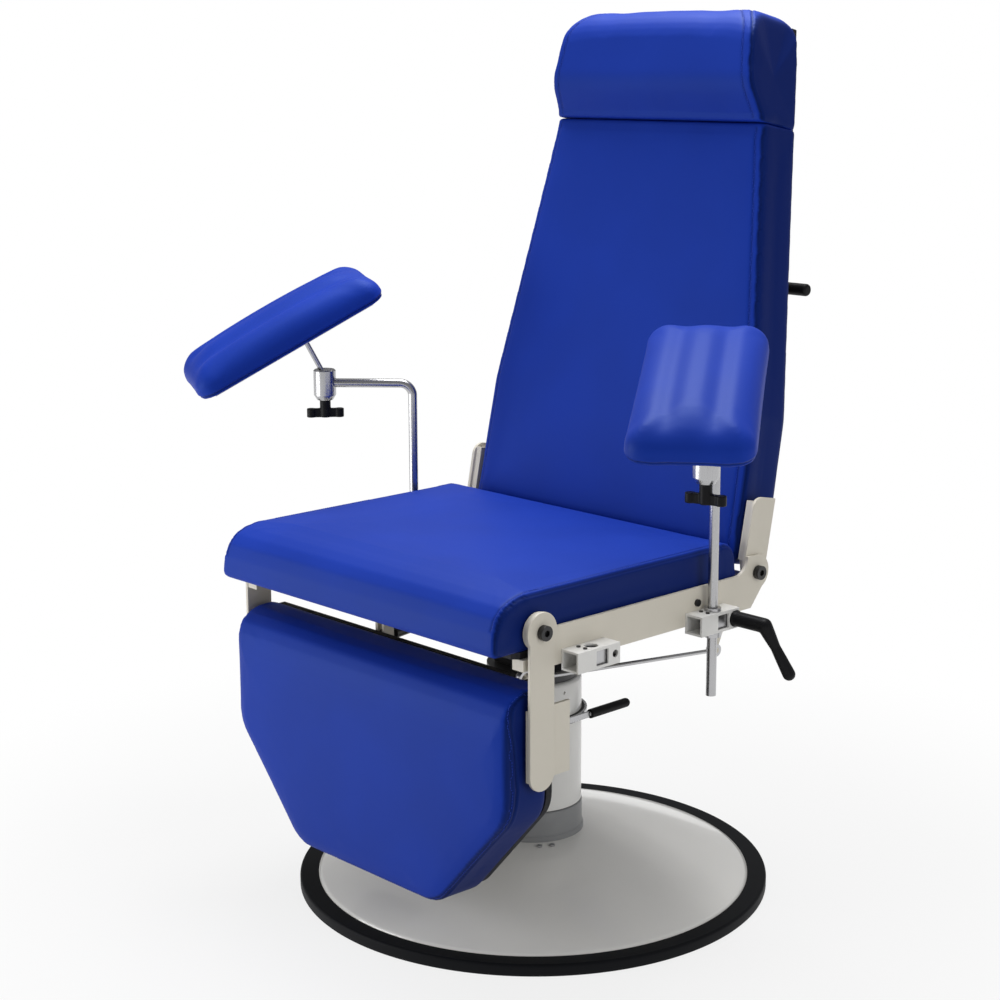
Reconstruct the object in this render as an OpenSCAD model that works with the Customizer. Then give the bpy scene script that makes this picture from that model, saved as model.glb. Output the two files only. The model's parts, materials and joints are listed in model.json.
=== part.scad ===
// Reclining blood-drawing chair on a round lifting column.
// Millimetres. Z is up, the floor is Z = 0, the column stands on the origin and the sitter faces -Y.
// "left" is the sitter's left, on the +X side.

/* [Base] */
// Diameter over the rubber ring
base_d = 700; // [640:5:760]
// Width of the rubber ring seen from above
ring_w = 28; // [20:1:36]
// Height of the rubber ring
ring_h = 17.5; // [14:0.5:22]
// Height of the dish where it meets the column
dish_h = 80; // [70:1:88]
// Wall of the pressed dish
dish_wall = 3; // [2:0.5:4]
// Thickness of the ballast plate under the dish
ballast_t = 12; // [8:1:14]

/* [Column] */
// Outer radius of the white lifting sleeve
sleeve_r = 72.5; // [70:0.5:76]
// Wall of the lifting sleeve
sleeve_wall = 4; // [3:0.5:5]
// Height of the sleeve's lower edge when the chair is down
sleeve_bottom = 126; // [125:1:135]
// Height of the sleeve's flat top when the chair is down
sleeve_top = 318; // [312:1:322]
// How far the chair rises
lift_travel = 150; // [60:5:160]
// Radius of the guide tube inside the sleeve
guide_r = 66; // [62:0.5:67]
// Radius of the chromed lifting rod
ram_r = 14; // [10:1:18]
// Height of the turning lever's band
lever_z = 258; // [240:1:270]
// Length of the lever's black grip
lever_grip_len = 84; // [60:1:110]

/* [Seat] */
// Width of the seat cushion
seat_w = 577; // [540:1:620]
// Gap between the seat cushion and each side plate
seat_side_gap = 1.5; // [1.5:0.5:6]
// Front edge of the seat cushion, in front of the column
seat_front = 349.5; // [345:0.5:352]
// Rear edge of the seat cushion, behind the column
seat_rear = 122; // [116:1:122]
// Height of the underside of the seat cushion
seat_base_z = 472; // [472:0.5:474]
// Thickness of the seat cushion at its side
seat_t = 77; // [60:1:85]
// Rise of the middle of the seat cushion over its edge
seat_crown = 5; // [2:0.5:8]
// Thickness of the wooden seat board
seat_board_t = 9; // [6:0.5:12]

/* [Side plates] */
// Thickness of every side plate
plate_t = 5; // [4:0.5:6]
// Height of both pivot lines over the underside of the seat cushion
pivot_rise = 26; // [24:0.5:28]
// Leg rest pivot, in front of the column
leg_pivot_y = -276; // [-278:0.5:-272]
// Backrest pivot, behind the column
back_pivot_y = 153; // [153:0.5:158]
// Height of the seat side plate
seat_plate_h = 51; // [46:1:54]
// Width of the leg rest side plate
leg_plate_w = 43; // [40:1:52]
// Width of the backrest side plate
back_plate_w = 47; // [40:1:49]
// Length of the backrest side plate above its pivot
back_plate_len = 105; // [90:1:130]

/* [Backrest] */
// Tilt of the upright backrest
back_tilt = 11.5; // [8:0.5:16]
// Length of the backrest cushion with its headrest
back_len = 788; // [740:2:820]
// How far the backrest cushion stays inside the seat side plates
back_side_gap = 23; // [20:1:50]
// Width of the backrest cushion at the top
back_top_w = 378; // [340:2:420]
// Length of the parallel lower part
back_kink = 217; // [180:1:260]
// Thickness of the backrest cushion
back_t = 78; // [60:1:90]
// Length of the headrest
head_len = 163; // [130:1:190]
// How far the headrest stands out
head_bulge = 34; // [15:1:42]

/* [Leg rest] */
// Gap between the leg rest cushion and the plane of each seat side plate
leg_side_gap = 2; // [1.5:0.5:6]
// Thickness of the leg rest cushion
leg_t = 82; // [60:1:84]
// Height of the leg rest cushion's top edge when it hangs
leg_top_z = 422; // [414:1:422]
// Height of its bottom edge
leg_bottom_z = 94; // [90:0.5:130]
// Width of its flat bottom edge
leg_bottom_w = 300; // [220:2:340]
// Height at which its sides start to run in
leg_shoulder_z = 250; // [230:1:255]

/* [Armrests] */
// Diameter of the bent arm rod
rod_d = 14; // [10:0.5:14]
// Length of the arm rod under its bend
rod_len = 356; // [300:1:380]
// Reach of the arm rod from its post to the ball clamp
rod_reach = 138; // [110:1:170]
// Length of an arm cushion
pad_len = 324; // [240:2:340]
// Width of an arm cushion
pad_w = 160; // [120:1:170]
// Thickness of an arm cushion, without its crown
pad_t = 49.5; // [36:0.5:56]
// Turn of the left arm outwards from straight ahead
arm_left_angle = 35.5; // [20:0.5:60]
// Turn of the right arm outwards from straight ahead
arm_right_angle = 46.8; // [20:0.2:60]
// How much lower the left arm stands than the right one
arm_drop = 10; // [0:1:60]

/* [Hidden] */

// Finishes
cream = "#c8c2ae";
white = "#e9e8e2";
vinyl = "#1f37a0";
black = "#17181a";
steel = "#b9bcc0";
grey = "#8a8d90";
dark = "#35373a";
wood = "#3a332c";

// General clearances
over = 1;              // overrun of a cut
fit = 0.05;            // running clearance on a radius
seat_gap = 0.3;        // gap of a piece in its seat
plate_gap = 0.5;       // gap between plates that turn against each other
frame_w = seat_w + 2 * seat_side_gap;
back_w = frame_w - 2 * back_side_gap;
leg_w = frame_w - 2 * leg_side_gap;
facets = 72;

// Base
base_r = base_d / 2;
dish_r = base_r - ring_w;
ring_lip_w = 20;
ring_lip_h = 3;
ring_edge = 4;
dish_steps = 14;
dish_power = 1.6;      // roundness of the dish
dish_flat_r = 77;
dish_bore_r = guide_r + seat_gap;
flange_r = 95;
flange_t = 8;
guide_wall = 5;
bush_len = 44;
bush_step = 1.5;
seal_r = 76;
seal_h = 8;
seal_edge = 2;
collar_r = sleeve_r + 1.2;
collar_gap = 2;
collar_edge = 1.5;
dish_screw_r = 4;
dish_screw_h = 2.2;
dish_screw_core_r = 2;
dish_screw_len = 10;
ballast_slope = 4;
dish_screw_ring_r = 90;
dish_screw_angles = [-38, -26];

// Lifting unit
cylinder_r = 28;
cylinder_bore_r = 22;
cylinder_floor = 10;
gland_len = 10;
cylinder_drop = 28;
cylinder_top = sleeve_top - cylinder_drop;
piston_len = 16;
piston_clear = 22;
piston_bottom = cylinder_top - gland_len - piston_len - lift_travel - piston_clear;
ram_flange_r = 32;
ram_flange_t = 8;
sleeve_cap_t = 8;
guide_clear = 4;
guide_top = sleeve_top - sleeve_cap_t - guide_clear;
sleeve_round = 6;
spigot_r = 25;
spigot_h = 26;
bearing_r = 66;
bearing_t = 8;
set_screw_r = 2.5;
set_screw_z = 304;
set_screw_turn = -5;
set_screw_depth = 3;

// Turning lever on the sleeve
lever_h = 9;
lever_ring_r = 77;
lever_band_t = 3.6;
lever_arm_len = 40;
lever_core_r = 3.5;
lever_grip_r = 7;
lever_lip = 1.2;

// Seat structure
pillar_base_r = 68;
pillar_base_t = 10;
pillar_w = 80;
pillar_wall = 6;
pillar_plate_w = 100;
pillar_plate_t = 8;
pillar_bottom = sleeve_top + bearing_t;
rail_w = 20;
rail_h = 15;
board_z = seat_base_z - seat_board_t;
rail_z = board_z - rail_h;
rail_front = 300;
rail_rear = 95;
tube_wall = 2;
beam_w = 20;
beam_x = 30;
front_tube_y = -225;
rear_tube_y = 5;
mount_plate_t = 8;
pillar_top = rail_z - mount_plate_t;
board_front = 306;
board_rear = 95;
board_in = 8;
board_round = 12;
frame_x = frame_w / 2;

// Pivots
pivot_z = seat_base_z + pivot_rise;
pivot_r = 6;
pivot_head_r = 10;
pivot_head_h = 8;
pivot_socket_r = 4.6;
pivot_socket_h = 5;
pivot_nut_r = 8;
pivot_nut_t = 6;
pivot_shoulder_r = 7.5;
pivot_shoulder_h = 1;
leg_eye_r = 26;
seat_eye_r = 25;
leg_plate_bottom = 286;
leg_plate_x = frame_x + plate_t + plate_gap;
back_plate_x = frame_x - plate_gap - plate_t;
fillet_r = 25;
fillet_y = 108;
web_share = [0.42, 0.73];

// Accessory brackets
bracket_w = 30;
bracket_h = 28;
bracket_len = 78;
bracket_wall = 3;
bracket_z = 453;
bracket_front_y = -198;
bracket_rear_y = 40.5;
bracket_x = frame_x + plate_t;
post_x = bracket_x + bracket_w / 2;
window_len = 22;
window_h = 20;
window_y = 6;
lever_y = 30;
lever_hole_r = 5;
block_w = 22;
block_front = 14;
block_rear = 38;
block_gap = 0.5;
slit_w = 2;
bush_r = 9;
bush_collar_r = 12;
bush_collar_h = 5;
bush_nut_r = 13;
bush_nut_h = 8;
top_screw_r = 2.8;
top_screw_h = 1.6;
top_screw_y = -17;
top_screw_x = 6;
plate_screw_r = 5;
plate_screw_h = 3.5;
plate_screw_y = 25;
plate_screw_z = 478;

// Clamp lever
hub_r = 10.5;
hub_len = 40;
washer_r = 12;
washer_t = 3;
handle_len = 84;
handle_r = 7;
handle_tip_r = 9;
handle_waist_share = 0.45;
handle_dir = [0.34, 0.3, -0.89];

// Arms
post_bend_z = 710;
bend_r = 20;
clamp_r = 17.5;
clamp_h = 48;
clamp_bottom = 683.5;
clamp_edge = 4;
clamp_neck_r = 12.5;
ball_r = 11;
ball_z = 721;
cone_low_r = 8.8;
cone_low_h = 5;
stud_r = 4;
knob_hub_r = 8.5;
knob_hub_h = 13.5;
knob_wing_len = 58;
knob_wing_w = 14.5;
knob_wing_h = 14;
knob_screw_r = 4;
knob_screw_h = 14;
knob_gap = 0.3;
rod_seat = 4;
wing_waist_share = 0.62;
cone_lip = 0.7;
pad_rise = 104;        // ball to the middle of an arm cushion
pad_board_t = 4;
pad_board_in = 23;
pad_boss_r = 17;
pad_boss_h = 10;
stud_seat = 6;
// Tilt, yaw and roll of the arm cushions and where the ball lies under them
tilt_left_angle = 18.5;
yaw_left_angle = 36.2;
roll_left_angle = 0.6;
pad_shift_left = [15, -6];
tilt_right_angle = 28;
yaw_right_angle = 25.2;
roll_right_angle = 4.2;
pad_shift_right = [25.5, -4.5];
wing_left_angle = 15;
wing_right_angle = 52;
pad_channel = 4;
pad_corner_r = 28;

// Backrest structure
back_front_u = -25.6;
back_rear_u = back_front_u + back_t;
back_low_w = 2;
back_corner = 45;
back_flare = 6;
stub_gap = 0.5;
stub_w = back_plate_x - back_w / 2 - back_flare - stub_gap;
stub_d = 40;
stub_low = 14;
stub_high = 98;
plate_corner_r = 18;
ear_t = 8;
ear_hole_r = 10;
back_tube_r = 10;
back_tube_u = 14;
back_tube_w = -16;
lever_in = 75;
lever_x = frame_x - lever_in;
lever_t = 6;
link_arm_w = 9;
back_board_t = 8;
back_board_in = 15;
strap_x = 120;
strap_w = 30;
strap_t = 4;
strap_high = 120;
handle_w_pos = 405;
handle_u_off = 38;
handle_bar_r = 9;
handle_half = 232;
handle_lug_x = 150;
handle_lug_t = 5;
handle_lug_w = 24;
handle_pivot_up = 26;
handle_pivot_off = 14;
handle_pin_r = 4;
handle_arm_t = 5;
handle_arm_r = 9;
handle_waist = 2;
handle_round = 4;

// Link rod between backrest and leg rest
link_rear_y = 152;
link_rear_z = 368;
link_front_y = -231;
link_front_z = 408;
link_r = 3;
link_eye_r = 14;
link_eye_t = 7;
link_pin_r = 4;
link_slack = 6;        // free play in the front eye
link_gap = 0.5;
link_small_eye_r = 9;
link_rod_start = 12;
link_drop = 45;

// Gas spring
gas_x = -70;
gas_front_y = -225;
gas_front_z = 406;
gas_arm = 60;
gas_arm_angle = 20;
gas_cyl_r = 10;
gas_cyl_len = 205;
gas_cyl_wall = 2.5;
gas_rod_r = 4;
gas_eye_r = 17;
gas_eye_t = 8;
gas_slack = 6.5;
gas_neck = 3;
gas_pin_r = 4;
gas_front_eye_r = 9;
lug_t = 5;
gas_rear = [back_pivot_y + gas_arm * sin(gas_arm_angle), pivot_z - gas_arm * cos(gas_arm_angle)];
gas_span = gas_rear - [gas_front_y, gas_front_z];

// Leg rest structure
leg_front_y = -334;
leg_board_t = 10;
leg_board_in = 5;
leg_notch_in = 11;
leg_notch_out = 27;
leg_notch_x = [lever_x - leg_notch_in, lever_x + leg_notch_out];
leg_notch_z = 378;
leg_tube_w = 20;
leg_tube_z = 330;
leg_flange_front = 296;
leg_flange_low = 300;
leg_flange_high = 396;
leg_flange_t = 5;

// Soft cushions
soft_min_r = 2;
soft_pull = 3;
welt_rise = 1;
seat_corner_r = 8;
// Rings of the seat cushion
seat_rings_share = [
  // [height, inset, front setback, rear setback, pull]
  [0, 0.09, 0.02, 0, 0], [0.04, 0.02, 0, 0, 0.2], [0.14, 0, 0, 0, 0.5], [0.42, 0, 0.02, 0, 0.8],
  [0.68, 0, 0.12, 0.01, 0.6], [0.84, 0, 0.28, 0.08, 0.3], [0.94, 0.01, 0.5, 0.18, 0.1],
  [0.99, 0.05, 0.72, 0.3, 0]];
seat_crown_share = [[1, 0.5], [1.42, 0.85], [2, 1]];
pad_pull = 1.5;
channel_share = 0.17;
// Rings of an arm cushion
pad_rings_share = [
  // [height, inset, pull, channel]
  [0, 0.08, 0, 0], [0.07, 0.01, 0, 0], [0.16, 0, 0.4, 0], [0.32, 0, 1, 0], [0.5, 0.03, 0.7, 0],
  [0.66, 0.12, 0.3, 0], [0.79, 0.25, 0, 0.05], [0.9, 0.42, 0, 0.3], [0.98, 0.62, 0, 0.7],
  [1.05, 0.86, 0, 1], [1.1, 1.15, 0, 1], [1.12, 1.45, 0, 1]];
// Rings of a padded cushion
cushion_side_share = [
  // [depth, inset, pull, lowering of the top edge]
  [0, 0.1, 0, 0], [0.04, 0.03, 0, 0], [0.14, 0, 0.4, 0], [0.48, 0, 1, 0], [0.7, 0, 0.4, 0.07],
  [0.88, 0, 0.1, 0.2], [0.97, 0.05, 0, 0.36]];
cushion_crown_share = [[0.25, 0.4], [0.5, 0.7], [0.8, 0.92], [1.1, 1]];
top_drop_share = 0.5;
back_crown = 5;
leg_crown = 3;
back_seam_w = back_len - head_len;
back_radii = [22, 22, 80, 3, 3, 80];
head_round = 46;
head_radii = [4, 6, 24, 46, 60];
head_rise = 48;
head_gap = 0.6;
head_drop = 10;
head_ends_share = [
  [-1, 0.09], [-0.985, 0.03], [-0.95, 0], [-0.75, 0], [-0.4, 0], [0, 0], [0.4, 0], [0.75, 0],
  [0.95, 0], [0.985, 0.03], [1, 0.09]];
leg_rear_y = leg_front_y + leg_t;
leg_radii = [60, 60, 60, 60, 8, 8];

// Small functions
function unit(v) = v / norm(v);
function edge_normal(p, i) =
  let (d = unit(p[(i + 1) % len(p)] - p[i])) [d[1], -d[0]];
function total(v, i = 0) = i < len(v) ? v[i] + total(v, i + 1) : 0;
function mean(r) = [for (k = [0:2]) total([for (q = r) q[k]]) / len(r)];

// Ring round a convex outline p with corner radii r, moved inwards by inset, its edges drawn in by pull.
function soft_ring(p, r, inset, pull, arc_n = 5, edge_n = 5) = [
  for (i = [0:len(p) - 1])
    let (last = len(p), j = (i + 1) % last,
         n0 = edge_normal(p, (i + last - 1) % last), n1 = edge_normal(p, i), n2 = edge_normal(p, j),
         r0 = max(r[i] - inset, soft_min_r), r1 = max(r[j] - inset, soft_min_r),
         c0 = p[i] - (inset + r0) * (n0 + n1) / (1 + n0 * n1),
         c1 = p[j] - (inset + r1) * (n1 + n2) / (1 + n1 * n2),
         a0 = atan2(n0[1], n0[0]), turn = (atan2(n1[1], n1[0]) - a0 + 360) % 360,
         from = c0 + r0 * n1, to = c1 + r1 * n1)
      each concat(
        [for (k = [0:arc_n]) c0 + r0 * [cos(a0 + turn * k / arc_n), sin(a0 + turn * k / arc_n)]],
        [for (k = [1:edge_n]) let (t = k / (edge_n + 1))
          from + (to - from) * t - n1 * pull * sin(180 * t)])];

// Closed skin over a stack of rings, each ring counter-clockwise seen from the last one.
module skin(rings) {
  n = len(rings[0]);
  m = len(rings);
  points = concat([mean(rings[0])], [for (r = rings) each r], [mean(rings[m - 1])]);
  faces = concat(
    [for (i = [0:n - 1]) [0, 1 + i, 1 + (i + 1) % n]],
    [for (j = [0:m - 2], i = [0:n - 1], side = [0, 1])
      let (a = 1 + j * n + i, b = 1 + j * n + (i + 1) % n)
        side == 0 ? [a, b + n, b] : [a, a + n, b + n]],
    [for (i = [0:n - 1]) [1 + m * n, 1 + (m - 1) * n + (i + 1) % n, 1 + (m - 1) * n + i]]);
  polyhedron(points, faces, convexity = 4);
}

module both_sides() {
  children();
  mirror([1, 0, 0]) children();
}

// Flat plate drawn in the YZ plane, between x and x + t.
module side_plate(x, t) {
  translate([x, 0, 0]) rotate([90, 0, 90]) linear_extrude(t) children();
}

module tube_x(y, z, w, h, from_x, to_x) {
  difference() {
    translate([from_x, y - w / 2, z]) cube([to_x - from_x, w, h]);
    translate([from_x - over, y - w / 2 + tube_wall, z + tube_wall])
      cube([to_x - from_x + 2 * over, w - 2 * tube_wall, h - 2 * tube_wall]);
  }
}

module back_place() {
  translate([0, back_pivot_y, pivot_z]) rotate([-back_tilt, 0, 0]) children();
}

// Base
module base_ring() {
  color(black) rotate_extrude($fn = facets) polygon([
    [dish_r - ring_lip_w, 0], [base_r - ring_edge / 2, 0], [base_r, ring_edge / 2],
    [base_r, ring_h - ring_edge], [base_r - ring_edge, ring_h - ring_edge / 2],
    [dish_r + seat_gap, ring_h], [dish_r + seat_gap, ring_lip_h], [dish_r - ring_lip_w, ring_lip_h]]);
}

function dish_z(s) = ring_h + (dish_h - ring_h) * (1 - pow(s, dish_power));
function dish_point(s, drop) =
  [dish_flat_r + (dish_r - dish_flat_r) * s - drop * s, dish_z(s) - drop];

module base_dish() {
  top = [for (k = [0:dish_steps]) dish_point(k / dish_steps, 0)];
  under = [for (k = [dish_steps:-1:0]) dish_point(k / dish_steps, dish_wall)];
  color(white) difference() {
    rotate_extrude($fn = facets) polygon(concat(
      [[dish_bore_r, dish_h]], top,
      [[dish_r, ring_lip_h], [dish_r - dish_wall, ring_lip_h]], under,
      [[dish_bore_r, dish_h - dish_wall]]));
    at_dish_screws() translate([0, 0, -dish_screw_len])
      cylinder(r = dish_screw_core_r + fit, h = dish_screw_len + over, $fn = 24);
  }
}

module ballast_plate() {
  outer = dish_r - dish_wall - plate_gap;
  inner = dish_r - ring_lip_w - plate_gap;
  top = ring_lip_h + ballast_t;
  edge = min(top, ring_h - dish_wall - plate_gap);
  color(dark) rotate_extrude($fn = facets) polygon([
    [0, 0], [inner, 0], [inner, ring_lip_h], [outer, ring_lip_h], [outer, edge],
    [outer - ballast_slope * (top + plate_gap - edge), top], [0, top]]);
}

module at_dish_screws() {
  highest = (dish_screw_ring_r - dish_screw_r - dish_flat_r) / (dish_r - dish_flat_r);
  for (a = dish_screw_angles) rotate([0, 0, a])
    translate([dish_screw_ring_r, 0, dish_z(highest)]) children();
}

module dish_screws() {
  color(steel) at_dish_screws() {
    cylinder(r = dish_screw_r, h = dish_screw_h, $fn = 24);
    translate([0, 0, seat_gap - dish_screw_len])
      cylinder(r = dish_screw_core_r, h = dish_screw_len, $fn = 24);
  }
}

module ring_of(inner_r, outer_r, z, h, edge) {
  rotate_extrude($fn = facets) polygon([
    [inner_r, z], [outer_r, z], [outer_r, z + h - edge], [outer_r - edge, z + h], [inner_r, z + h]]);
}

module column_seal() {
  color(dark) ring_of(dish_bore_r, seal_r, dish_h, seal_h, seal_edge);
}

module column_collar() {
  color(grey) ring_of(dish_bore_r, collar_r, dish_h + seal_h,
    sleeve_bottom - collar_gap - dish_h - seal_h, collar_edge);
}

module guide_tube() {
  low = ring_lip_h + ballast_t;
  color(steel) rotate_extrude($fn = facets) polygon([
    [cylinder_r + seat_gap, low], [flange_r, low], [flange_r, low + flange_t], [guide_r, low + flange_t],
    [guide_r, guide_top - bush_len], [guide_r - bush_step, guide_top - bush_len],
    [guide_r - bush_step, guide_top], [guide_r - guide_wall, guide_top],
    [guide_r - guide_wall, low + flange_t], [cylinder_r + seat_gap, low + flange_t]]);
}

module guide_bush() {
  color(white) rotate_extrude($fn = facets) polygon([
    [guide_r - bush_step + fit, guide_top - bush_len], [sleeve_r - sleeve_wall - fit, guide_top - bush_len],
    [sleeve_r - sleeve_wall - fit, guide_top], [guide_r - bush_step + fit, guide_top]]);
}

module lift_cylinder() {
  low = ring_lip_h + ballast_t;
  color(dark) rotate_extrude($fn = facets) polygon([
    [0, low], [cylinder_r, low], [cylinder_r, cylinder_top], [ram_r + fit, cylinder_top],
    [ram_r + fit, cylinder_top - gland_len], [cylinder_bore_r, cylinder_top - gland_len],
    [cylinder_bore_r, low + cylinder_floor], [0, low + cylinder_floor]]);
}

// Lifting unit
module column_sleeve() {
  inner = sleeve_r - sleeve_wall;
  color(white) difference() {
    rotate_extrude($fn = facets) polygon(concat(
      [[inner, sleeve_bottom], [sleeve_r, sleeve_bottom]],
      [for (a = [0:15:90]) [sleeve_r - sleeve_round + sleeve_round * cos(a),
                            sleeve_top - sleeve_round + sleeve_round * sin(a)]],
      [[spigot_r, sleeve_top], [spigot_r, sleeve_top + spigot_h], [0, sleeve_top + spigot_h],
       [0, sleeve_top - sleeve_cap_t], [inner, sleeve_top - sleeve_cap_t]]));
    rotate([0, 0, set_screw_turn]) translate([sleeve_r - set_screw_depth, 0, set_screw_z])
      rotate([0, 90, 0]) cylinder(r = set_screw_r, h = set_screw_depth + over, $fn = 24);
  }
}

module lift_ram() {
  top = sleeve_top - sleeve_cap_t;
  color(steel) rotate_extrude($fn = facets) polygon([
    [0, piston_bottom], [cylinder_bore_r - fit, piston_bottom],
    [cylinder_bore_r - fit, piston_bottom + piston_len], [ram_r, piston_bottom + piston_len],
    [ram_r, top - ram_flange_t], [ram_flange_r, top - ram_flange_t], [ram_flange_r, top], [0, top]]);
}

module swivel_bearing() {
  color(dark) difference() {
    translate([0, 0, sleeve_top]) cylinder(r = bearing_r, h = bearing_t, $fn = facets);
    translate([0, 0, sleeve_top - over])
      cylinder(r = spigot_r + seat_gap, h = bearing_t + 2 * over, $fn = facets);
  }
}

module lever_bearing() {
  color(dark) rotate_extrude($fn = facets) polygon([
    [sleeve_r + fit, lever_z - lever_lip], [lever_ring_r + lever_band_t / 2, lever_z - lever_lip],
    [lever_ring_r + lever_band_t / 2, lever_z], [lever_ring_r - fit, lever_z],
    [lever_ring_r - fit, lever_z + lever_h], [sleeve_r + fit, lever_z + lever_h]]);
}

module lever_band() {
  outer = lever_ring_r + lever_band_t;
  color(steel) {
    difference() {
      union() {
        translate([0, 0, lever_z]) cylinder(r = outer, h = lever_h, $fn = facets);
        translate([lever_ring_r, 0, lever_z]) cube([lever_band_t, lever_arm_len, lever_h]);
      }
      translate([0, 0, lever_z - over]) cylinder(r = lever_ring_r, h = lever_h + 2 * over, $fn = facets);
    }
    translate([lever_ring_r + lever_band_t / 2, lever_arm_len, lever_z + lever_h / 2])
      rotate([-90, 0, 0]) cylinder(r = lever_core_r, h = lever_grip_len - 2 * lever_grip_r, $fn = 32);
  }
}

module lever_grip() {
  color(black) translate([lever_ring_r + lever_band_t / 2, lever_arm_len, lever_z + lever_h / 2])
    rotate([-90, 0, 0]) rotate_extrude($fn = 48) polygon(concat(
      [[lever_core_r + fit, 0], [lever_grip_r, 0]],
      [for (a = [0:15:90]) [lever_grip_r * cos(a), lever_grip_len - lever_grip_r + lever_grip_r * sin(a)]],
      [[0, lever_grip_len - 2 * lever_grip_r + seat_gap],
       [lever_core_r + fit, lever_grip_len - 2 * lever_grip_r + seat_gap]]));
}

// Seat structure
module seat_pillar() {
  color(dark) {
    difference() {
      translate([0, 0, pillar_bottom]) cylinder(r = pillar_base_r, h = pillar_base_t, $fn = facets);
      translate([0, 0, pillar_bottom - over])
        cylinder(r = spigot_r + fit, h = pillar_base_t + 2 * over, $fn = facets);
    }
    difference() {
      translate([-pillar_w / 2, -pillar_w / 2, pillar_bottom + pillar_base_t])
        cube([pillar_w, pillar_w, pillar_top - pillar_plate_t - pillar_bottom - pillar_base_t]);
      translate([pillar_wall - pillar_w / 2, pillar_wall - pillar_w / 2,
                 pillar_bottom + pillar_base_t - over])
        cube([pillar_w - 2 * pillar_wall, pillar_w - 2 * pillar_wall, pillar_top - pillar_bottom]);
    }
    translate([-pillar_plate_w / 2, -pillar_plate_w / 2, pillar_top - pillar_plate_t])
      cube([pillar_plate_w, pillar_plate_w, pillar_plate_t]);
  }
}

module seat_frame() {
  color(cream) {
    both_sides() {
      translate([frame_x - rail_w, -rail_front, rail_z]) cube([rail_w, rail_front + rail_rear, rail_h]);
      translate([beam_x - beam_w / 2, front_tube_y, rail_z])
        cube([beam_w, rail_rear - front_tube_y, rail_h]);
    }
    for (y = [front_tube_y, rear_tube_y])
      translate([-frame_x + rail_w, y - beam_w / 2, rail_z]) cube([frame_w - 2 * rail_w, beam_w, rail_h]);
    translate([-pillar_plate_w / 2, -pillar_plate_w / 2, pillar_top])
      cube([pillar_plate_w, pillar_plate_w, mount_plate_t]);
    // Lugs and pin of the gas spring's front end
    difference() {
      for (s = [-1, 1])
        translate([gas_x + s * (gas_eye_t / 2 + plate_gap + lug_t / 2) - lug_t / 2, 0, 0])
          side_plate(0, lug_t) gas_lug_shape();
      gas_front_pin(0, over);
    }
    gas_front_pin(0, 0);
  }
}

module gas_lug_shape() {
  translate([gas_front_y, gas_front_z]) circle(r = gas_front_eye_r, $fn = 48);
  translate([gas_front_y - gas_front_eye_r, gas_front_z])
    square([2 * gas_front_eye_r, rail_z - gas_front_z]);
}

module gas_front_pin(grow, extra) {
  half = gas_eye_t / 2 + plate_gap + lug_t;
  translate([gas_x - half - extra, gas_front_y, gas_front_z]) rotate([0, 90, 0])
    cylinder(r = gas_pin_r + grow, h = 2 * (half + extra), $fn = 32);
}

module seat_plate_shape() {
  low = rail_z;
  high = low + seat_plate_h;
  difference() {
    union() {
      translate([leg_pivot_y, low]) square([fillet_y - leg_pivot_y, seat_plate_h]);
      translate([leg_pivot_y, pivot_z]) circle(r = seat_eye_r, $fn = 64);
      translate([back_pivot_y, pivot_z]) circle(r = seat_eye_r, $fn = 64);
      difference() {
        polygon([
          [fillet_y - over, low], [back_pivot_y - seat_eye_r / 2, low],
          [back_pivot_y + seat_eye_r * web_share[1], pivot_z - seat_eye_r * (1 - web_share[0])],
          [back_pivot_y, pivot_z + seat_eye_r], [fillet_y - over, pivot_z + seat_eye_r]]);
        translate([fillet_y, high + fillet_r]) circle(r = fillet_r, $fn = 64);
        translate([fillet_y - 2 * over, high + fillet_r]) square([fillet_r, fillet_r]);
        translate([fillet_y - 2 * over, high]) square([2 * over, fillet_r + over]);
      }
    }
    for (y = [leg_pivot_y, back_pivot_y])
      translate([y, pivot_z]) circle(r = pivot_r + fit, $fn = 48);
    translate([plate_screw_y, plate_screw_z]) circle(r = plate_screw_r / 2, $fn = 32);
  }
}

module seat_plate_left() {
  color(cream) side_plate(frame_x, plate_t) seat_plate_shape();
}

module seat_plate_right() {
  mirror([1, 0, 0]) seat_plate_left();
}

module seat_board() {
  color(wood) translate([0, 0, board_z]) linear_extrude(seat_board_t) difference() {
    polygon([
      [-frame_x + board_in, -board_front], [frame_x - board_in, -board_front],
      [frame_x - board_in, board_rear], [-frame_x + board_in, board_rear]]);
    for (s = [-1, 1]) translate([s * (frame_x - board_in), -board_front]) rotate([0, 0, 45])
      square(board_round, center = true);
  }
}

module seat_cushion() {
  half = seat_w / 2;
  ring_t = seat_t;
  side = [for (s = seat_rings_share)
    let (front = -seat_front + s[2] * ring_t,
         rear = seat_rear - s[3] * ring_t,
         p = [[-half, front], [half, front], [half, rear], [-half, rear]])
      [for (q = soft_ring(p, seat_radii(), s[1] * ring_t, s[4] * soft_pull))
        [q[0], q[1], seat_base_z + s[0] * ring_t]]];
  top = [for (s = seat_crown_share)
    let (p = [[-half, -seat_front], [half, -seat_front], [half, seat_rear], [-half, seat_rear]])
      [for (q = soft_ring(p, seat_radii(), s[0] * seat_t, 0))
        [q[0], q[1], seat_base_z + ring_t + welt_rise + seat_crown * s[1]]]];
  color(vinyl) skin(concat(side, top));
}

function seat_radii() = [for (i = [0:3]) seat_corner_r];

module front_brackets() {
  color(white) both_sides() bracket(bracket_front_y);
}

module rear_brackets() {
  color(white) both_sides() bracket(bracket_rear_y);
}

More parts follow.
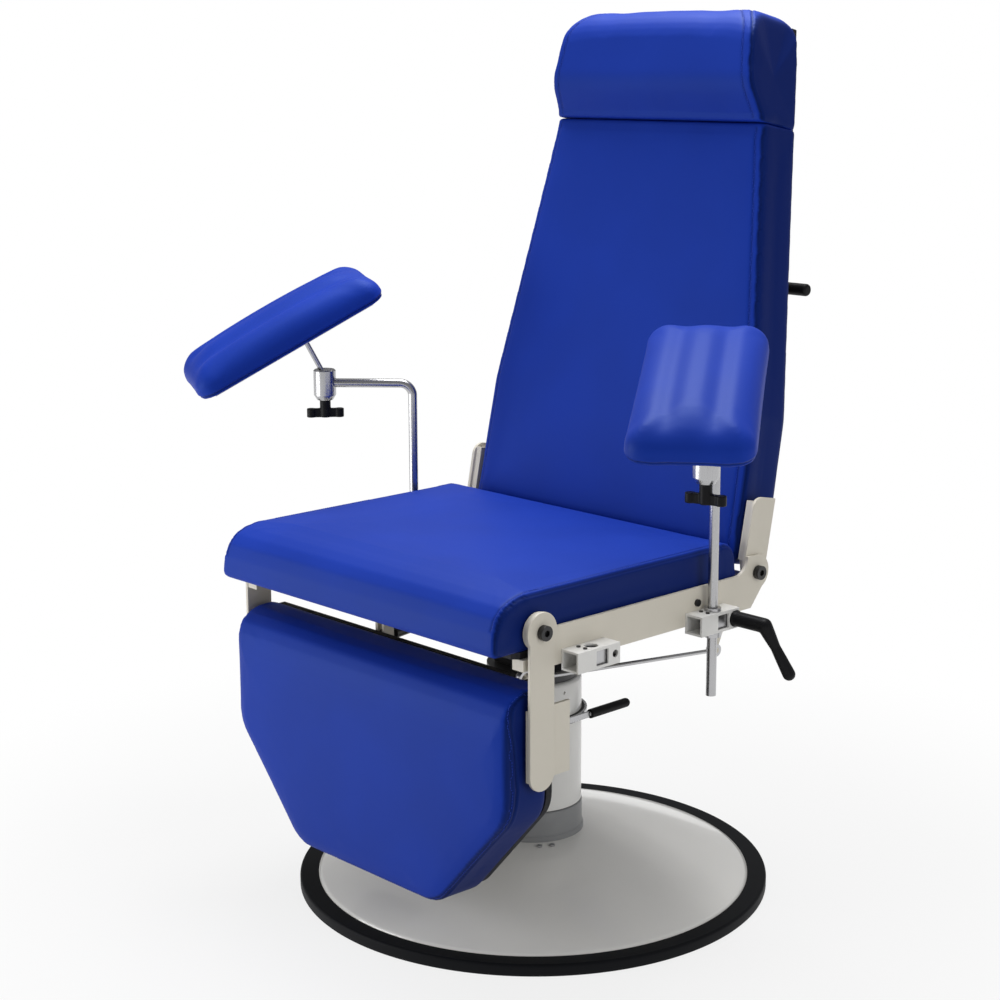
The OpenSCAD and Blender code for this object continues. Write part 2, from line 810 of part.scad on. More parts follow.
// Open-ended box tube with a vertical bore for a rod and a window in its outer face.
module bracket(y) {
  difference() {
    translate([bracket_x, y - bracket_len / 2, bracket_z - bracket_h / 2])
      cube([bracket_w, bracket_len, bracket_h]);
    translate([bracket_x + bracket_wall, y - bracket_len / 2 - over,
               bracket_wall + bracket_z - bracket_h / 2])
      cube([bracket_w - 2 * bracket_wall, bracket_len - bracket_wall + over, bracket_h - 2 * bracket_wall]);
    translate([bracket_x + bracket_w - bracket_wall - over, y + window_y - window_len / 2,
               bracket_z - window_h / 2])
      cube([bracket_wall + 2 * over, window_len, window_h]);
    translate([post_x, y, bracket_z - bracket_h]) cylinder(r = bush_r + fit, h = 2 * bracket_h, $fn = 48);
    translate([bracket_x + bracket_w / 2, y + lever_y, bracket_z]) rotate([0, 90, 0])
      cylinder(r = lever_hole_r + fit, h = bracket_w, $fn = 32);
  }
}

// Split block inside a bracket that the lever's screw closes on the bush.
module clamp_block(y) {
  h = bracket_h - 2 * bracket_wall - 2 * fit;
  difference() {
    translate([post_x - block_w / 2, y - block_front, bracket_z - h / 2])
      cube([block_w, block_front + block_rear - bracket_wall - block_gap, h]);
    translate([post_x, y, bracket_z - bracket_h]) cylinder(r = bush_r + fit, h = 2 * bracket_h, $fn = 48);
    translate([post_x - slit_w / 2, y, bracket_z - bracket_h])
      cube([slit_w, block_rear + over, 2 * bracket_h]);
    translate([post_x - block_w, y + lever_y, bracket_z]) rotate([0, 90, 0])
      cylinder(r = lever_hole_r + fit, h = 2 * block_w, $fn = 32);
  }
}

module clamp_blocks() {
  color(steel) both_sides() for (y = [bracket_front_y, bracket_rear_y]) clamp_block(y);
}

// Bolt with a hex socket head; its shoulder of radius r bears on the seat plate's outer face.
module pivot_bolt(y, inner_x, head_x, r) {
  difference() {
    union() {
      translate([inner_x, y, pivot_z]) rotate([0, 90, 0])
        cylinder(r = pivot_r, h = head_x - inner_x, $fn = 48);
      translate([frame_x + plate_t, y, pivot_z]) rotate([0, 90, 0])
        cylinder(r = r, h = head_x - frame_x - plate_t, $fn = 48);
      translate([head_x, y, pivot_z]) rotate([0, 90, 0])
        cylinder(r = pivot_head_r, h = pivot_head_h, $fn = 48);
    }
    translate([head_x + pivot_head_h - pivot_socket_h, y, pivot_z]) rotate([0, 90, 0])
      cylinder(r = pivot_socket_r, h = pivot_socket_h + over, $fn = 6);
  }
}

module pivot_bolts() {
  nut_x = back_plate_x - plate_gap - pivot_nut_t;
  color(black) both_sides() {
    pivot_bolt(leg_pivot_y, frame_x, leg_plate_x + plate_t + plate_gap, pivot_shoulder_r);
    pivot_bolt(back_pivot_y, nut_x, frame_x + plate_t + pivot_shoulder_h, pivot_shoulder_r);
    translate([nut_x, back_pivot_y, pivot_z]) rotate([0, 90, 0])
      cylinder(r = pivot_nut_r, h = pivot_nut_t, $fn = 48);
  }
}

module frame_screws() {
  color(black) both_sides() {
    translate([frame_x + plate_t, plate_screw_y, plate_screw_z]) rotate([0, 90, 0])
      cylinder(r = plate_screw_r, h = plate_screw_h, $fn = 32);
    translate([frame_x + seat_gap, plate_screw_y, plate_screw_z]) rotate([0, 90, 0])
      cylinder(r = plate_screw_r / 2 - fit, h = plate_t, $fn = 32);
    for (y = [bracket_front_y, bracket_rear_y], s = [-1, 1])
      translate([post_x + s * top_screw_x, y + top_screw_y, bracket_z + bracket_h / 2])
        cylinder(r = top_screw_r, h = top_screw_h, $fn = 24);
  }
}

// Clamp levers of the rear brackets
module clamp_lever(s) {
  axis_y = bracket_rear_y + lever_y;
  face_x = bracket_x + bracket_w;
  dir = unit(handle_dir);
  elbow = [face_x + washer_t + hub_len - hub_r, axis_y, bracket_z];
  tip = elbow + handle_len * dir;
  color(black) mirror([s, 0, 0]) {
    translate([post_x - block_w / 2, axis_y, bracket_z]) rotate([0, 90, 0])
      cylinder(r = lever_hole_r, h = face_x + washer_t - post_x + block_w / 2, $fn = 32);
    translate([face_x, axis_y, bracket_z]) rotate([0, 90, 0])
      cylinder(r = washer_r, h = washer_t, $fn = 48);
    translate([face_x + washer_t, axis_y, bracket_z]) rotate([0, 90, 0])
      cylinder(r = hub_r, h = hub_len - hub_r, $fn = 48);
    hull() {
      translate(elbow) sphere(r = hub_r, $fn = 32);
      translate(elbow + handle_len * handle_waist_share * dir) sphere(r = handle_r, $fn = 32);
    }
    hull() {
      translate(elbow + handle_len * handle_waist_share * dir) sphere(r = handle_r, $fn = 32);
      translate(tip) sphere(r = handle_tip_r, $fn = 32);
    }
  }
}

module clamp_lever_left() { clamp_lever(0); }

module clamp_lever_right() { clamp_lever(1); }

// Arms. s is 1 on the sitter's left and -1 on the right.
function arm_angle(s) = s > 0 ? arm_left_angle : -arm_right_angle;
function arm_dir(s) = [sin(arm_angle(s)), -cos(arm_angle(s)), 0];
function arm_rise(s) = s > 0 ? -arm_drop : 0;
function post_at(s) = [s * post_x, bracket_rear_y, 0];
function clamp_at(s) = post_at(s) + rod_reach * arm_dir(s) + [0, 0, arm_rise(s)];
function ball_at(s) = clamp_at(s) + [0, 0, ball_z];

module arm_bush(s) {
  top = bracket_z + bracket_h / 2;
  low = bracket_z - bracket_h / 2;
  color(steel) translate(post_at(s)) rotate_extrude($fn = 64) polygon([
    [rod_d / 2 + fit, low - bush_nut_h], [bush_nut_r, low - bush_nut_h], [bush_nut_r, low],
    [bush_r, low], [bush_r, top], [bush_collar_r, top], [bush_collar_r, top + bush_collar_h],
    [rod_d / 2 + fit, top + bush_collar_h]]);
}

module arm_bush_left() { arm_bush(1); }

module arm_bush_right() { arm_bush(-1); }

module arm_post(s) {
  color(steel) translate(post_at(s) + [0, 0, arm_rise(s)])
  rotate([0, 0, atan2(arm_dir(s)[1], arm_dir(s)[0])]) {
    translate([0, 0, rod_len]) cylinder(d = rod_d, h = post_bend_z - bend_r - rod_len, $fn = 48);
    translate([bend_r, 0, post_bend_z - bend_r]) rotate([90, 0, 0]) rotate([0, 0, 90])
      rotate_extrude(angle = 90, $fn = 64) translate([bend_r, 0]) circle(d = rod_d, $fn = 48);
    translate([bend_r, 0, post_bend_z]) rotate([0, 90, 0])
      cylinder(d = rod_d, h = rod_reach - clamp_r + rod_seat - bend_r, $fn = 48);
  }
}

module arm_post_left() { arm_post(1); }

module arm_post_right() { arm_post(-1); }

// Clamp with a ball socket on top, a bore for the rod's end and a threaded hole for the knob.
module ball_clamp(s) {
  top = clamp_bottom + clamp_h;
  color(steel) translate(clamp_at(s)) difference() {
    rotate_extrude($fn = 64) polygon([
      [0, clamp_bottom], [clamp_neck_r, clamp_bottom], [clamp_r, clamp_bottom + clamp_edge * 2],
      [clamp_r, top - clamp_edge / 2], [clamp_r - clamp_edge / 2, top], [0, top]]);
    translate([0, 0, ball_z]) sphere(r = ball_r + fit, $fn = 64);
    translate([0, 0, ball_z + cone_low_h])
      cylinder(r1 = cone_low_r, r2 = cone_high_r(), h = top - ball_z - cone_low_h + over, $fn = 64);
    translate([0, 0, clamp_bottom - over])
      cylinder(r = knob_screw_r + fit, h = knob_screw_h + over + plate_gap, $fn = 32);
    rotate([0, 0, atan2(arm_dir(s)[1], arm_dir(s)[0])]) translate([-rod_reach, 0, post_bend_z])
      rotate([0, 90, 0])
        cylinder(d = rod_d + 2 * fit, h = rod_reach - clamp_r + rod_seat + fit, $fn = 48);
  }
}
function cone_high_r() = clamp_r - clamp_edge / 2 - cone_lip;

module ball_clamp_left() { ball_clamp(1); }

module ball_clamp_right() { ball_clamp(-1); }

module wing_knob(s) {
  top = clamp_bottom - knob_gap;
  color(black) translate(clamp_at(s)) rotate([0, 0, s > 0 ? wing_left_angle : wing_right_angle]) {
    translate([0, 0, top - knob_hub_h]) cylinder(r = knob_hub_r, h = knob_hub_h, $fn = 48);
    translate([0, 0, top]) cylinder(r = knob_screw_r, h = knob_screw_h, $fn = 32);
    translate([0, 0, top - knob_hub_h - knob_wing_h]) linear_extrude(knob_wing_h) {
      circle(r = knob_hub_r, $fn = 48);
      for (t = [-1, 1]) translate([t * (knob_wing_len - knob_wing_w) / 2, 0])
        circle(d = knob_wing_w, $fn = 32);
      square([knob_wing_len - knob_wing_w, knob_wing_w * wing_waist_share], center = true);
    }
  }
}

module wing_knob_left() { wing_knob(1); }

module wing_knob_right() { wing_knob(-1); }

// Frame of an arm cushion: X along it outwards, Y across it, Z square to it, origin at the ball.
function pad_yaw(s) = s > 0 ? yaw_left_angle : -yaw_right_angle;
function pad_tilt(s) = s > 0 ? tilt_left_angle : tilt_right_angle;
function pad_roll(s) = s > 0 ? roll_left_angle : -roll_right_angle;
function pad_shift(s) = s > 0 ? pad_shift_left : pad_shift_right;

module pad_place(s) {
  translate(ball_at(s)) rotate([0, 0, pad_yaw(s) - 90]) rotate([pad_roll(s), 0, 0])
    rotate([0, pad_tilt(s), 0]) children();
}

module ball_stud(s) {
  color(steel) pad_place(s) {
    sphere(r = ball_r, $fn = 64);
    cylinder(r = stud_r, h = pad_under() - pad_boss_h + stud_seat, $fn = 32);
  }
}
function pad_under() = pad_rise - pad_t / 2 - pad_board_t;

module ball_stud_left() { ball_stud(1); }

module ball_stud_right() { ball_stud(-1); }

module pad_plate(s) {
  shift = pad_shift(s);
  color(steel) pad_place(s) difference() {
    union() {
      translate([shift[0], shift[1], pad_under()]) linear_extrude(pad_board_t)
        square([pad_len - 2 * pad_board_in, pad_w - 2 * pad_board_in], center = true);
      translate([0, 0, pad_under() - pad_boss_h]) cylinder(r = pad_boss_r, h = pad_boss_h, $fn = 48);
    }
    translate([0, 0, pad_under() - pad_boss_h - over])
      cylinder(r = stud_r + fit, h = stud_seat + over + plate_gap, $fn = 32);
  }
}

module pad_plate_left() { pad_plate(1); }

module pad_plate_right() { pad_plate(-1); }

module arm_pad(s) {
  shift = pad_shift(s);
  half = [pad_len / 2, pad_w / 2];
  p = [-half, [half[0], -half[1]], half, [-half[0], half[1]]];
  radii = [for (i = [0:3]) pad_corner_r];
  color(vinyl) pad_place(s) translate([shift[0], shift[1], pad_rise - pad_t / 2]) skin([
    for (r = pad_rings_share)
      [for (q = soft_ring(p, radii, r[1] * pad_t, r[2] * pad_pull, 5, 9))
        [q[0], q[1], r[0] * pad_t - r[3] * pad_channel * channel_depth(q[1])]]]);
}

// Two soft channels along the cushion, one on each side of its middle.
function channel_depth(y) =
  let (t = (abs(y) - channel_share * pad_w) / (channel_share * pad_w)) exp(-4 * t * t);

module arm_pad_left() { arm_pad(1); }

module arm_pad_right() { arm_pad(-1); }

// Backrest, drawn upright about its pivot: X across, Y to the rear, Z up the back.
module back_plate_left() {
  half = back_plate_w / 2;
  color(cream) back_place() side_plate(back_plate_x, plate_t) difference() {
    union() {
      circle(r = half, $fn = 64);
      translate([-half, 0]) square([back_plate_w, back_plate_len - plate_corner_r]);
      translate([-half + plate_corner_r, back_plate_len - 2 * plate_corner_r])
        square([back_plate_w - plate_corner_r, 2 * plate_corner_r]);
      translate([-half + plate_corner_r, back_plate_len - plate_corner_r])
        circle(r = plate_corner_r, $fn = 48);
      translate([back_tube_u, back_tube_w]) circle(r = back_tube_r, $fn = 48);
    }
    circle(r = pivot_r + fit, $fn = 48);
  }
}

module back_plate_right() {
  mirror([1, 0, 0]) back_plate_left();
}

module back_frame() {
  color(cream) back_place() {
    both_sides() {
      difference() {
        translate([back_plate_x - stub_w, -stub_d / 2, stub_low])
          cube([stub_w, stub_d, stub_high - stub_low]);
        translate([back_plate_x - stub_w + tube_wall, -stub_d / 2 + tube_wall, stub_low + tube_wall])
          cube([stub_w - 2 * tube_wall, stub_d - 2 * tube_wall, stub_high - stub_low - 2 * tube_wall]);
      }
      side_plate(back_plate_x - ear_t, ear_t) difference() {
        polygon([
          [-stub_d / 2, stub_low], [-pivot_head_r, back_tube_w], [back_tube_u, back_tube_w - back_tube_r],
          [back_tube_u + back_tube_r, back_tube_w], [stub_d / 2, stub_low]]);
        circle(r = ear_hole_r, $fn = 48);
      }
    }
    translate([-back_plate_x + ear_t, back_tube_u, back_tube_w]) rotate([0, 90, 0])
      cylinder(r = back_tube_r, h = 2 * (back_plate_x - ear_t), $fn = 48);
    // Straps that carry the board
    both_sides() {
      translate([strap_x - strap_w / 2, back_rear_u + back_board_t + 2 * seat_gap, back_tube_w])
        cube([strap_w, strap_t, strap_high - back_tube_w]);
      translate([strap_x - strap_w / 2, back_tube_u, back_tube_w])
        cube([strap_w, back_rear_u + back_board_t + strap_t + 2 * seat_gap - back_tube_u, strap_t]);
    }
  }
  color(cream) {
    link_arm();
    gas_arm_lug();
  }
}

// Arm that pulls the link rod, cranked to pass behind the seat board.
module link_arm() {
  points = [[back_pivot_y + back_tube_u + link_arm_w, pivot_z + back_tube_w],
            [back_pivot_y + back_tube_u + 2 * link_arm_w, pivot_z + back_tube_w - link_drop],
            [link_rear_y, link_rear_z]];
  side_plate(lever_x - lever_t / 2, lever_t)
    for (k = [0:1]) hull() {
      translate(points[k]) circle(r = link_arm_w, $fn = 32);
      translate(points[k + 1]) circle(r = link_arm_w, $fn = 32);
    }
  translate([lever_x, link_rear_y, link_rear_z]) rotate([0, 90, 0])
    cylinder(r = link_pin_r, h = lever_t / 2 + link_gap + link_eye_t, $fn = 32);
}

module gas_arm_lug() {
  half = gas_eye_t / 2 + plate_gap + lug_t;
  for (s = [-1, 1])
    side_plate(gas_x + s * (gas_eye_t / 2 + plate_gap + lug_t / 2) - lug_t / 2, lug_t) hull() {
      translate(gas_rear) circle(r = gas_front_eye_r, $fn = 32);
      translate([gas_rear[0], pivot_z + back_tube_w]) circle(r = gas_front_eye_r, $fn = 32);
    }
  translate([gas_x - half, gas_rear[0], gas_rear[1]]) rotate([0, 90, 0])
    cylinder(r = gas_pin_r, h = 2 * half, $fn = 32);
}

// Half outline of the backrest from the bottom edge up to the height w.
function back_half(w) = w < back_kink ? back_w / 2 + back_flare * (1 - w / back_kink)
  : back_w / 2 + (back_top_w - back_w) / 2 * (w - back_kink) / (back_len - back_corner - back_kink);
function back_outline(low, high) = [
  [-back_half(low), low], [back_half(low), low], [back_half(back_kink), back_kink],
  [back_half(high), high], [-back_half(high), high], [-back_half(back_kink), back_kink]];

module back_board() {
  color(wood) back_place() translate([0, back_rear_u + seat_gap, 0]) rotate([90, 0, 0])
    translate([0, 0, -back_board_t]) linear_extrude(back_board_t)
      polygon(soft_ring(back_outline(back_low_w, back_len), back_radii, back_board_in, 0, 6, 1));
}

// Rings of a padded cushion from its rear face forwards; the last two corners of p are lowered by drop.
function lowered(p, d) = [for (i = [0:5]) i < 4 ? p[i] : p[i] - [0, d]];
function padded(p, radii, t, crown, drop) = concat(
  [for (s = cushion_side_share)
    [for (q = soft_ring(lowered(p, s[3] * drop), radii, s[1] * t, s[2] * soft_pull))
      [q[0], -s[0] * t, q[1]]]],
  [for (s = cushion_crown_share)
    [for (q = soft_ring(lowered(p, top_drop_share * drop), radii, s[0] * t, 0))
      [q[0], -t - crown * s[1], q[1]]]]);

module back_cushion() {
  color(vinyl) back_place() translate([0, back_rear_u, 0])
    skin(padded(back_outline(back_low_w, back_seam_w), back_radii, back_t, back_crown, 0));
}

function head_half(w) = back_half(w) - (w < back_len - head_round ? 0
  : head_round - sqrt(max(0, pow(head_round, 2) - pow(w - back_len + head_round, 2))));

module headrest_cushion() {
  low = back_seam_w + head_gap;
  color(vinyl) back_place() skin([for (s = head_ends_share)
    let (top = back_len - head_drop * pow(abs(s[0]), 3),
         p = [[back_front_u, low], [back_rear_u, low], [back_rear_u, top],
              [back_front_u - head_bulge, top], [back_front_u - head_bulge, low + head_rise]])
      [for (q = soft_ring(p, head_radii, s[1] * back_t, 0, 7, 3)) [s[0] * head_half(q[1]), q[0], q[1]]]]);
}

module handle_brackets() {
  u = back_rear_u + back_board_t + 2 * seat_gap;
  color(black) back_place() both_sides() {
    difference() {
      union() {
        translate([handle_lug_x - handle_lug_w / 2, u, handle_w_pos + handle_pivot_up - handle_lug_w])
          cube([handle_lug_w, handle_lug_t, 2 * handle_lug_w]);
        side_plate(handle_lug_x - handle_lug_t / 2, handle_lug_t) {
          translate([u + handle_pivot_off, handle_w_pos + handle_pivot_up])
            circle(r = handle_arm_r, $fn = 48);
          translate([u, handle_w_pos + handle_pivot_up - handle_arm_r])
            square([handle_pivot_off, 2 * handle_arm_r]);
        }
      }
      translate([handle_lug_x - handle_lug_w, u + handle_pivot_off, handle_w_pos + handle_pivot_up])
        rotate([0, 90, 0]) cylinder(r = handle_pin_r + fit, h = 2 * handle_lug_w, $fn = 32);
    }
  }
}

module release_bar() {
  u = back_rear_u + back_board_t + 2 * seat_gap;
  pivot = [u + handle_pivot_off, handle_w_pos + handle_pivot_up];
  bar = [u + handle_u_off, handle_w_pos];
  color(black) back_place() {
    translate([-handle_half, bar[0], bar[1]]) rotate([0, 90, 0]) rotate_extrude($fn = 48) polygon(concat(
      [[0, 0]],
      [for (a = [0:22.5:90])
        [handle_bar_r - handle_round * (1 - sin(a)), handle_round * (1 - cos(a))]],
      [for (a = [0:22.5:90])
        [handle_bar_r - handle_round * (1 - cos(a)), 2 * handle_half - handle_round * (1 - sin(a))]],
      [[0, 2 * handle_half]]));
    both_sides() {
      side_plate(handle_lug_x + handle_lug_t / 2 + plate_gap, handle_arm_t) hull() {
        translate(pivot) circle(r = handle_arm_r, $fn = 32);
        translate(bar) circle(r = handle_arm_r - handle_waist, $fn = 32);
      }
      translate([handle_lug_x - handle_lug_t / 2 - plate_gap, pivot[0], pivot[1]]) rotate([0, 90, 0])
        cylinder(r = handle_pin_r, h = handle_lug_t + 2 * plate_gap + handle_arm_t / 2, $fn = 32);
    }
  }
}

// Leg rest
module legrest_plate_left() {
  color(cream) side_plate(leg_plate_x, plate_t) difference() {
    union() {
      translate([leg_pivot_y, leg_plate_bottom + leg_plate_w / 2]) circle(r = leg_plate_w / 2, $fn = 64);
      translate([leg_pivot_y - leg_plate_w / 2, leg_plate_bottom + leg_plate_w / 2])
        square([leg_plate_w, pivot_z - leg_plate_bottom - leg_plate_w / 2]);
      translate([leg_pivot_y, pivot_z]) circle(r = leg_eye_r, $fn = 64);
    }
    translate([leg_pivot_y, pivot_z]) circle(r = pivot_shoulder_r + fit, $fn = 48);
  }
}

module legrest_plate_right() {
  mirror([1, 0, 0]) legrest_plate_left();
}

module legrest_frame() {
  tube_y = leg_rear_y + seat_gap + leg_board_t + leg_tube_w / 2;
  color(cream) {
    tube_x(tube_y, leg_tube_z, leg_tube_w, leg_tube_w,
      -leg_plate_x + leg_flange_t, leg_plate_x - leg_flange_t);
    both_sides() translate([leg_plate_x - leg_flange_t, -leg_flange_front, leg_flange_low])
      cube([leg_flange_t, leg_flange_front + tube_y + leg_tube_w / 2, leg_flange_high - leg_flange_low]);
    // Lug of the link rod
    side_plate(lever_x - lever_t / 2, lever_t) {
      translate([link_front_y, link_front_z]) circle(r = link_small_eye_r, $fn = 48);
      translate([link_front_y - link_small_eye_r, leg_tube_z])
        square([2 * link_small_eye_r, link_front_z - leg_tube_z]);
    }
    translate([lever_x, link_front_y, link_front_z]) rotate([0, 90, 0])
      cylinder(r = link_pin_r, h = lever_t / 2 + link_gap + link_eye_t, $fn = 32);
  }
}

function leg_outline() = let (half = leg_w / 2, low = leg_bottom_w / 2) [
  [-half, leg_shoulder_z], [-low, leg_bottom_z], [low, leg_bottom_z], [half, leg_shoulder_z],
  [half, leg_top_z], [-half, leg_top_z]];

module legrest_board() {
  color(wood) translate([0, leg_rear_y + seat_gap + leg_board_t, 0]) rotate([90, 0, 0])
    linear_extrude(leg_board_t) difference() {
      polygon(soft_ring(leg_outline(), leg_radii, leg_board_in, 0, 6, 1));
      // Notch round the link rod's eye
      translate([leg_notch_x[0], leg_notch_z])
        square([leg_notch_x[1] - leg_notch_x[0], leg_top_z - leg_notch_z]);
    }
}

module legrest_cushion() {
  color(vinyl) translate([0, leg_rear_y, 0])
    skin(padded(leg_outline(), leg_radii, leg_t - leg_crown, leg_crown, leg_t));
}

// Link rod, open at its front pivot
module link_rod() {
  eye_x = lever_x + lever_t / 2 + link_gap;
  front = [link_front_y, link_front_z];
  rear = [link_rear_y, link_rear_z];
  along = rear - front;
  color(steel) {
    side_plate(eye_x, link_eye_t) difference() {
      translate(rear) circle(r = link_small_eye_r, $fn = 48);
      translate(rear) circle(r = link_pin_r + fit, $fn = 48);
    }
    side_plate(eye_x, link_eye_t) difference() {
      translate(front) circle(r = link_eye_r, $fn = 48);
      translate(front) circle(r = link_pin_r + link_slack, $fn = 48);
    }
    translate([eye_x + link_eye_t / 2, link_front_y, link_front_z])
      rotate([atan2(along[1], along[0]) - 90, 0, 0])
        translate([0, 0, link_rod_start])
          cylinder(r = link_r, h = norm(along) - link_rod_start - link_pin_r - link_r, $fn = 32);
  }
}

// Gas spring
module gas_place() {
  translate([gas_x, gas_front_y, gas_front_z]) rotate([atan2(gas_span[1], gas_span[0]), 0, 0])
    rotate([-90, 0, 0]) children();
}

module gas_eye(r, hole_r) {
  rotate([0, 90, 0]) translate([0, 0, -gas_eye_t / 2]) difference() {
    cylinder(r = r, h = gas_eye_t, $fn = 64);
    translate([0, 0, -over]) cylinder(r = hole_r, h = gas_eye_t + 2 * over, $fn = 64);
  }
}

module gas_cylinder() {
  start = gas_front_eye_r - over;
  bore = gas_cyl_r - gas_cyl_wall;
  color(black) gas_place() {
    gas_eye(gas_front_eye_r, gas_pin_r + fit);
    rotate_extrude($fn = 64) polygon([
      [0, start], [gas_eye_t / 2, start], [gas_eye_t / 2, start + gas_neck],
      [gas_cyl_r, start + gas_neck + gas_cyl_r / 2], [gas_cyl_r, gas_cyl_len],
      [gas_rod_r + fit, gas_cyl_len], [gas_rod_r + fit, gas_cyl_len - gas_cyl_r],
      [bore, gas_cyl_len - gas_cyl_r], [bore, start + gas_cyl_r], [0, start + gas_cyl_r]]);
  }
}

module gas_rod() {
  span = norm(gas_span);
  piston = gas_cyl_len - gas_cyl_r * 3;
  color(steel) gas_place() {
    translate([0, 0, span]) gas_eye(gas_eye_r, gas_pin_r + gas_slack);
    translate([0, 0, piston])
      cylinder(r = gas_rod_r, h = span - piston - gas_pin_r - gas_slack - gas_rod_r, $fn = 32);
    translate([0, 0, piston]) cylinder(r = gas_cyl_r - gas_cyl_wall - fit, h = gas_cyl_r, $fn = 48);
  }
}

base_ring();
base_dish();
ballast_plate();
dish_screws();
column_seal();
column_collar();
guide_tube();
guide_bush();
lift_cylinder();
column_sleeve();
lift_ram();
swivel_bearing();
lever_bearing();
lever_band();
lever_grip();
seat_pillar();
seat_frame();
seat_plate_left();
seat_plate_right();
seat_board();
seat_cushion();
front_brackets();
rear_brackets();
clamp_blocks();
pivot_bolts();
frame_screws();
clamp_lever_left();
clamp_lever_right();
arm_bush_left();
arm_bush_right();
arm_post_left();
arm_post_right();
ball_clamp_left();
ball_clamp_right();
wing_knob_left();
wing_knob_right();
ball_stud_left();
ball_stud_right();
pad_plate_left();
pad_plate_right();
arm_pad_left();
arm_pad_right();
back_plate_left();
back_plate_right();
back_frame();
back_board();
back_cushion();
headrest_cushion();
handle_brackets();
release_bar();
legrest_plate_left();
legrest_plate_right();
legrest_frame();
legrest_board();
legrest_cushion();
link_rod();
gas_cylinder();
gas_rod();
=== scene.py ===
import bpy, bmesh, json, math
from mathutils import Matrix, Vector, kdtree
from mathutils.bvhtree import BVHTree


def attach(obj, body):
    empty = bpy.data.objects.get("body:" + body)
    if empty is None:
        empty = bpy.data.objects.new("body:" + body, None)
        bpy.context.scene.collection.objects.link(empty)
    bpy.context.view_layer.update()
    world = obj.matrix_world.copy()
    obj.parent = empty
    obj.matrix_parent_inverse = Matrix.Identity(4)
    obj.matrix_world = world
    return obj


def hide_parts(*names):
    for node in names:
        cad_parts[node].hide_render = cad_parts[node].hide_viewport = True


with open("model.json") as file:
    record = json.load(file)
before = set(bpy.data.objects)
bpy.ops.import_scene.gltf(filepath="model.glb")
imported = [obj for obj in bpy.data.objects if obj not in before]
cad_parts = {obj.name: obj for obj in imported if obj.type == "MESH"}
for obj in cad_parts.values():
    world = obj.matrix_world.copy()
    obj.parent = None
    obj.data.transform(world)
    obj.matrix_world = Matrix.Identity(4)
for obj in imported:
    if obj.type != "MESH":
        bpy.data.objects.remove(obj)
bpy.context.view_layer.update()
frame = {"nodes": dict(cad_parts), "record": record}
nodes = frame["nodes"]
mm = 0.001
print("frame loaded:", len(nodes), "nodes")


def newPiece(name, data):
    piece = bpy.data.objects.new(name, data)
    bpy.context.scene.collection.objects.link(piece)
    return piece


# Camera, fitted to the photo
camera = {
    "place": (2.0062, -1.9598, 1.1994),
    "right": (0.68715, 0.72651, -0.00358),
    "up": (-0.1546, 0.15103, 0.97636),
    "forward": (-0.70987, 0.67036, -0.2161),
    "lens": 71.24,
    "sensor": 36.0,
}
cameraData = bpy.data.cameras.new("camera")
cameraData.lens, cameraData.sensor_width = camera["lens"], camera["sensor"]
cameraObject = newPiece("camera", cameraData)
turn = Matrix((camera["right"], camera["up"], -Vector(camera["forward"]))).transposed().to_4x4()
cameraObject.matrix_world = Matrix.Translation(camera["place"]) @ turn
bpy.context.scene.camera = cameraObject


# Shader maths: a Wire is one output socket of a Graph, and + - * on it add Math nodes
class Wire:
    def __init__(self, graph, socket):
        self.graph, self.socket = graph, socket

    def maths(self, operation, *values):
        return self.graph.node("Math", {"operation": operation}, dict(enumerate(values)))

    def __add__(self, other):
        return self.maths("ADD", self, other)

    def __sub__(self, other):
        return self.maths("SUBTRACT", self, other)

    def __rsub__(self, other):
        return self.maths("SUBTRACT", other, self)

    def __mul__(self, other):
        return self.maths("MULTIPLY", self, other)

    __radd__, __rmul__ = __add__, __mul__

    def band(self, low, high):  # 0 below low, 1 above high, smooth between
        return self.graph.node(
            "MapRange", {"interpolation_type": "SMOOTHSTEP"}, {0: self, 1: low, 2: high})


class Graph:
    def __init__(self, tree, ending):
        self.tree, self.ending = tree, tree.nodes[ending]

    def node(self, kind, settings={}, inputs={}, output=0):
        made = self.tree.nodes.new("ShaderNode" + kind)
        for key, value in settings.items():
            setattr(made, key, value)
        for key, value in inputs.items():
            if isinstance(value, Wire):
                self.tree.links.new(value.socket, made.inputs[key])
            else:
                made.inputs[key].default_value = value
        return Wire(self, made.outputs[output])

    def show(self, wire):
        self.tree.links.new(wire.socket, self.ending.inputs["Surface"])


class Finish(Graph):
    def __init__(self, name, constants):
        self.material = bpy.data.materials.new(name)
        self.material.use_nodes = True
        super().__init__(self.material.node_tree, "Material Output")
        self.shader = self.tree.nodes["Principled BSDF"]
        for key, value in constants.items():
            self.shader.inputs[key].default_value = value
        self.place = self.node("TexCoord", output="Object")

    def noise(self, scale, detail, rough=0.5, stretch=None, distortion=0.0):
        place = self.place
        if stretch:
            place = self.node("Mapping", {}, {"Vector": place, "Scale": stretch})
        return self.node("TexNoise", {}, {
            "Vector": place, "Scale": scale, "Detail": detail, "Roughness": rough,
            "Distortion": distortion})

    def mix(self, factor, a, b):
        return self.node("Mix", {"data_type": "RGBA"}, {0: factor, 6: a, 7: b}, output=2)

    def attribute(self, name):
        return self.node("Attribute", {"attribute_name": name}, output="Fac")

    def bump(self, height, strength, distance, under=None):
        inputs = {"Strength": strength, "Distance": distance, "Height": height}
        if under:
            inputs["Normal"] = under
        return self.node("Bump", {}, inputs)

    def feed(self, colour, roughness, normal):
        wires = {"Base Color": colour, "Roughness": roughness, "Normal": normal}
        for name, wire in wires.items():
            self.tree.links.new(wire.socket, self.shader.inputs[name])
        return self.material


def shade(colour, factor):
    return tuple(min(1.0, c * factor) for c in colour[:3]) + (1.0,)


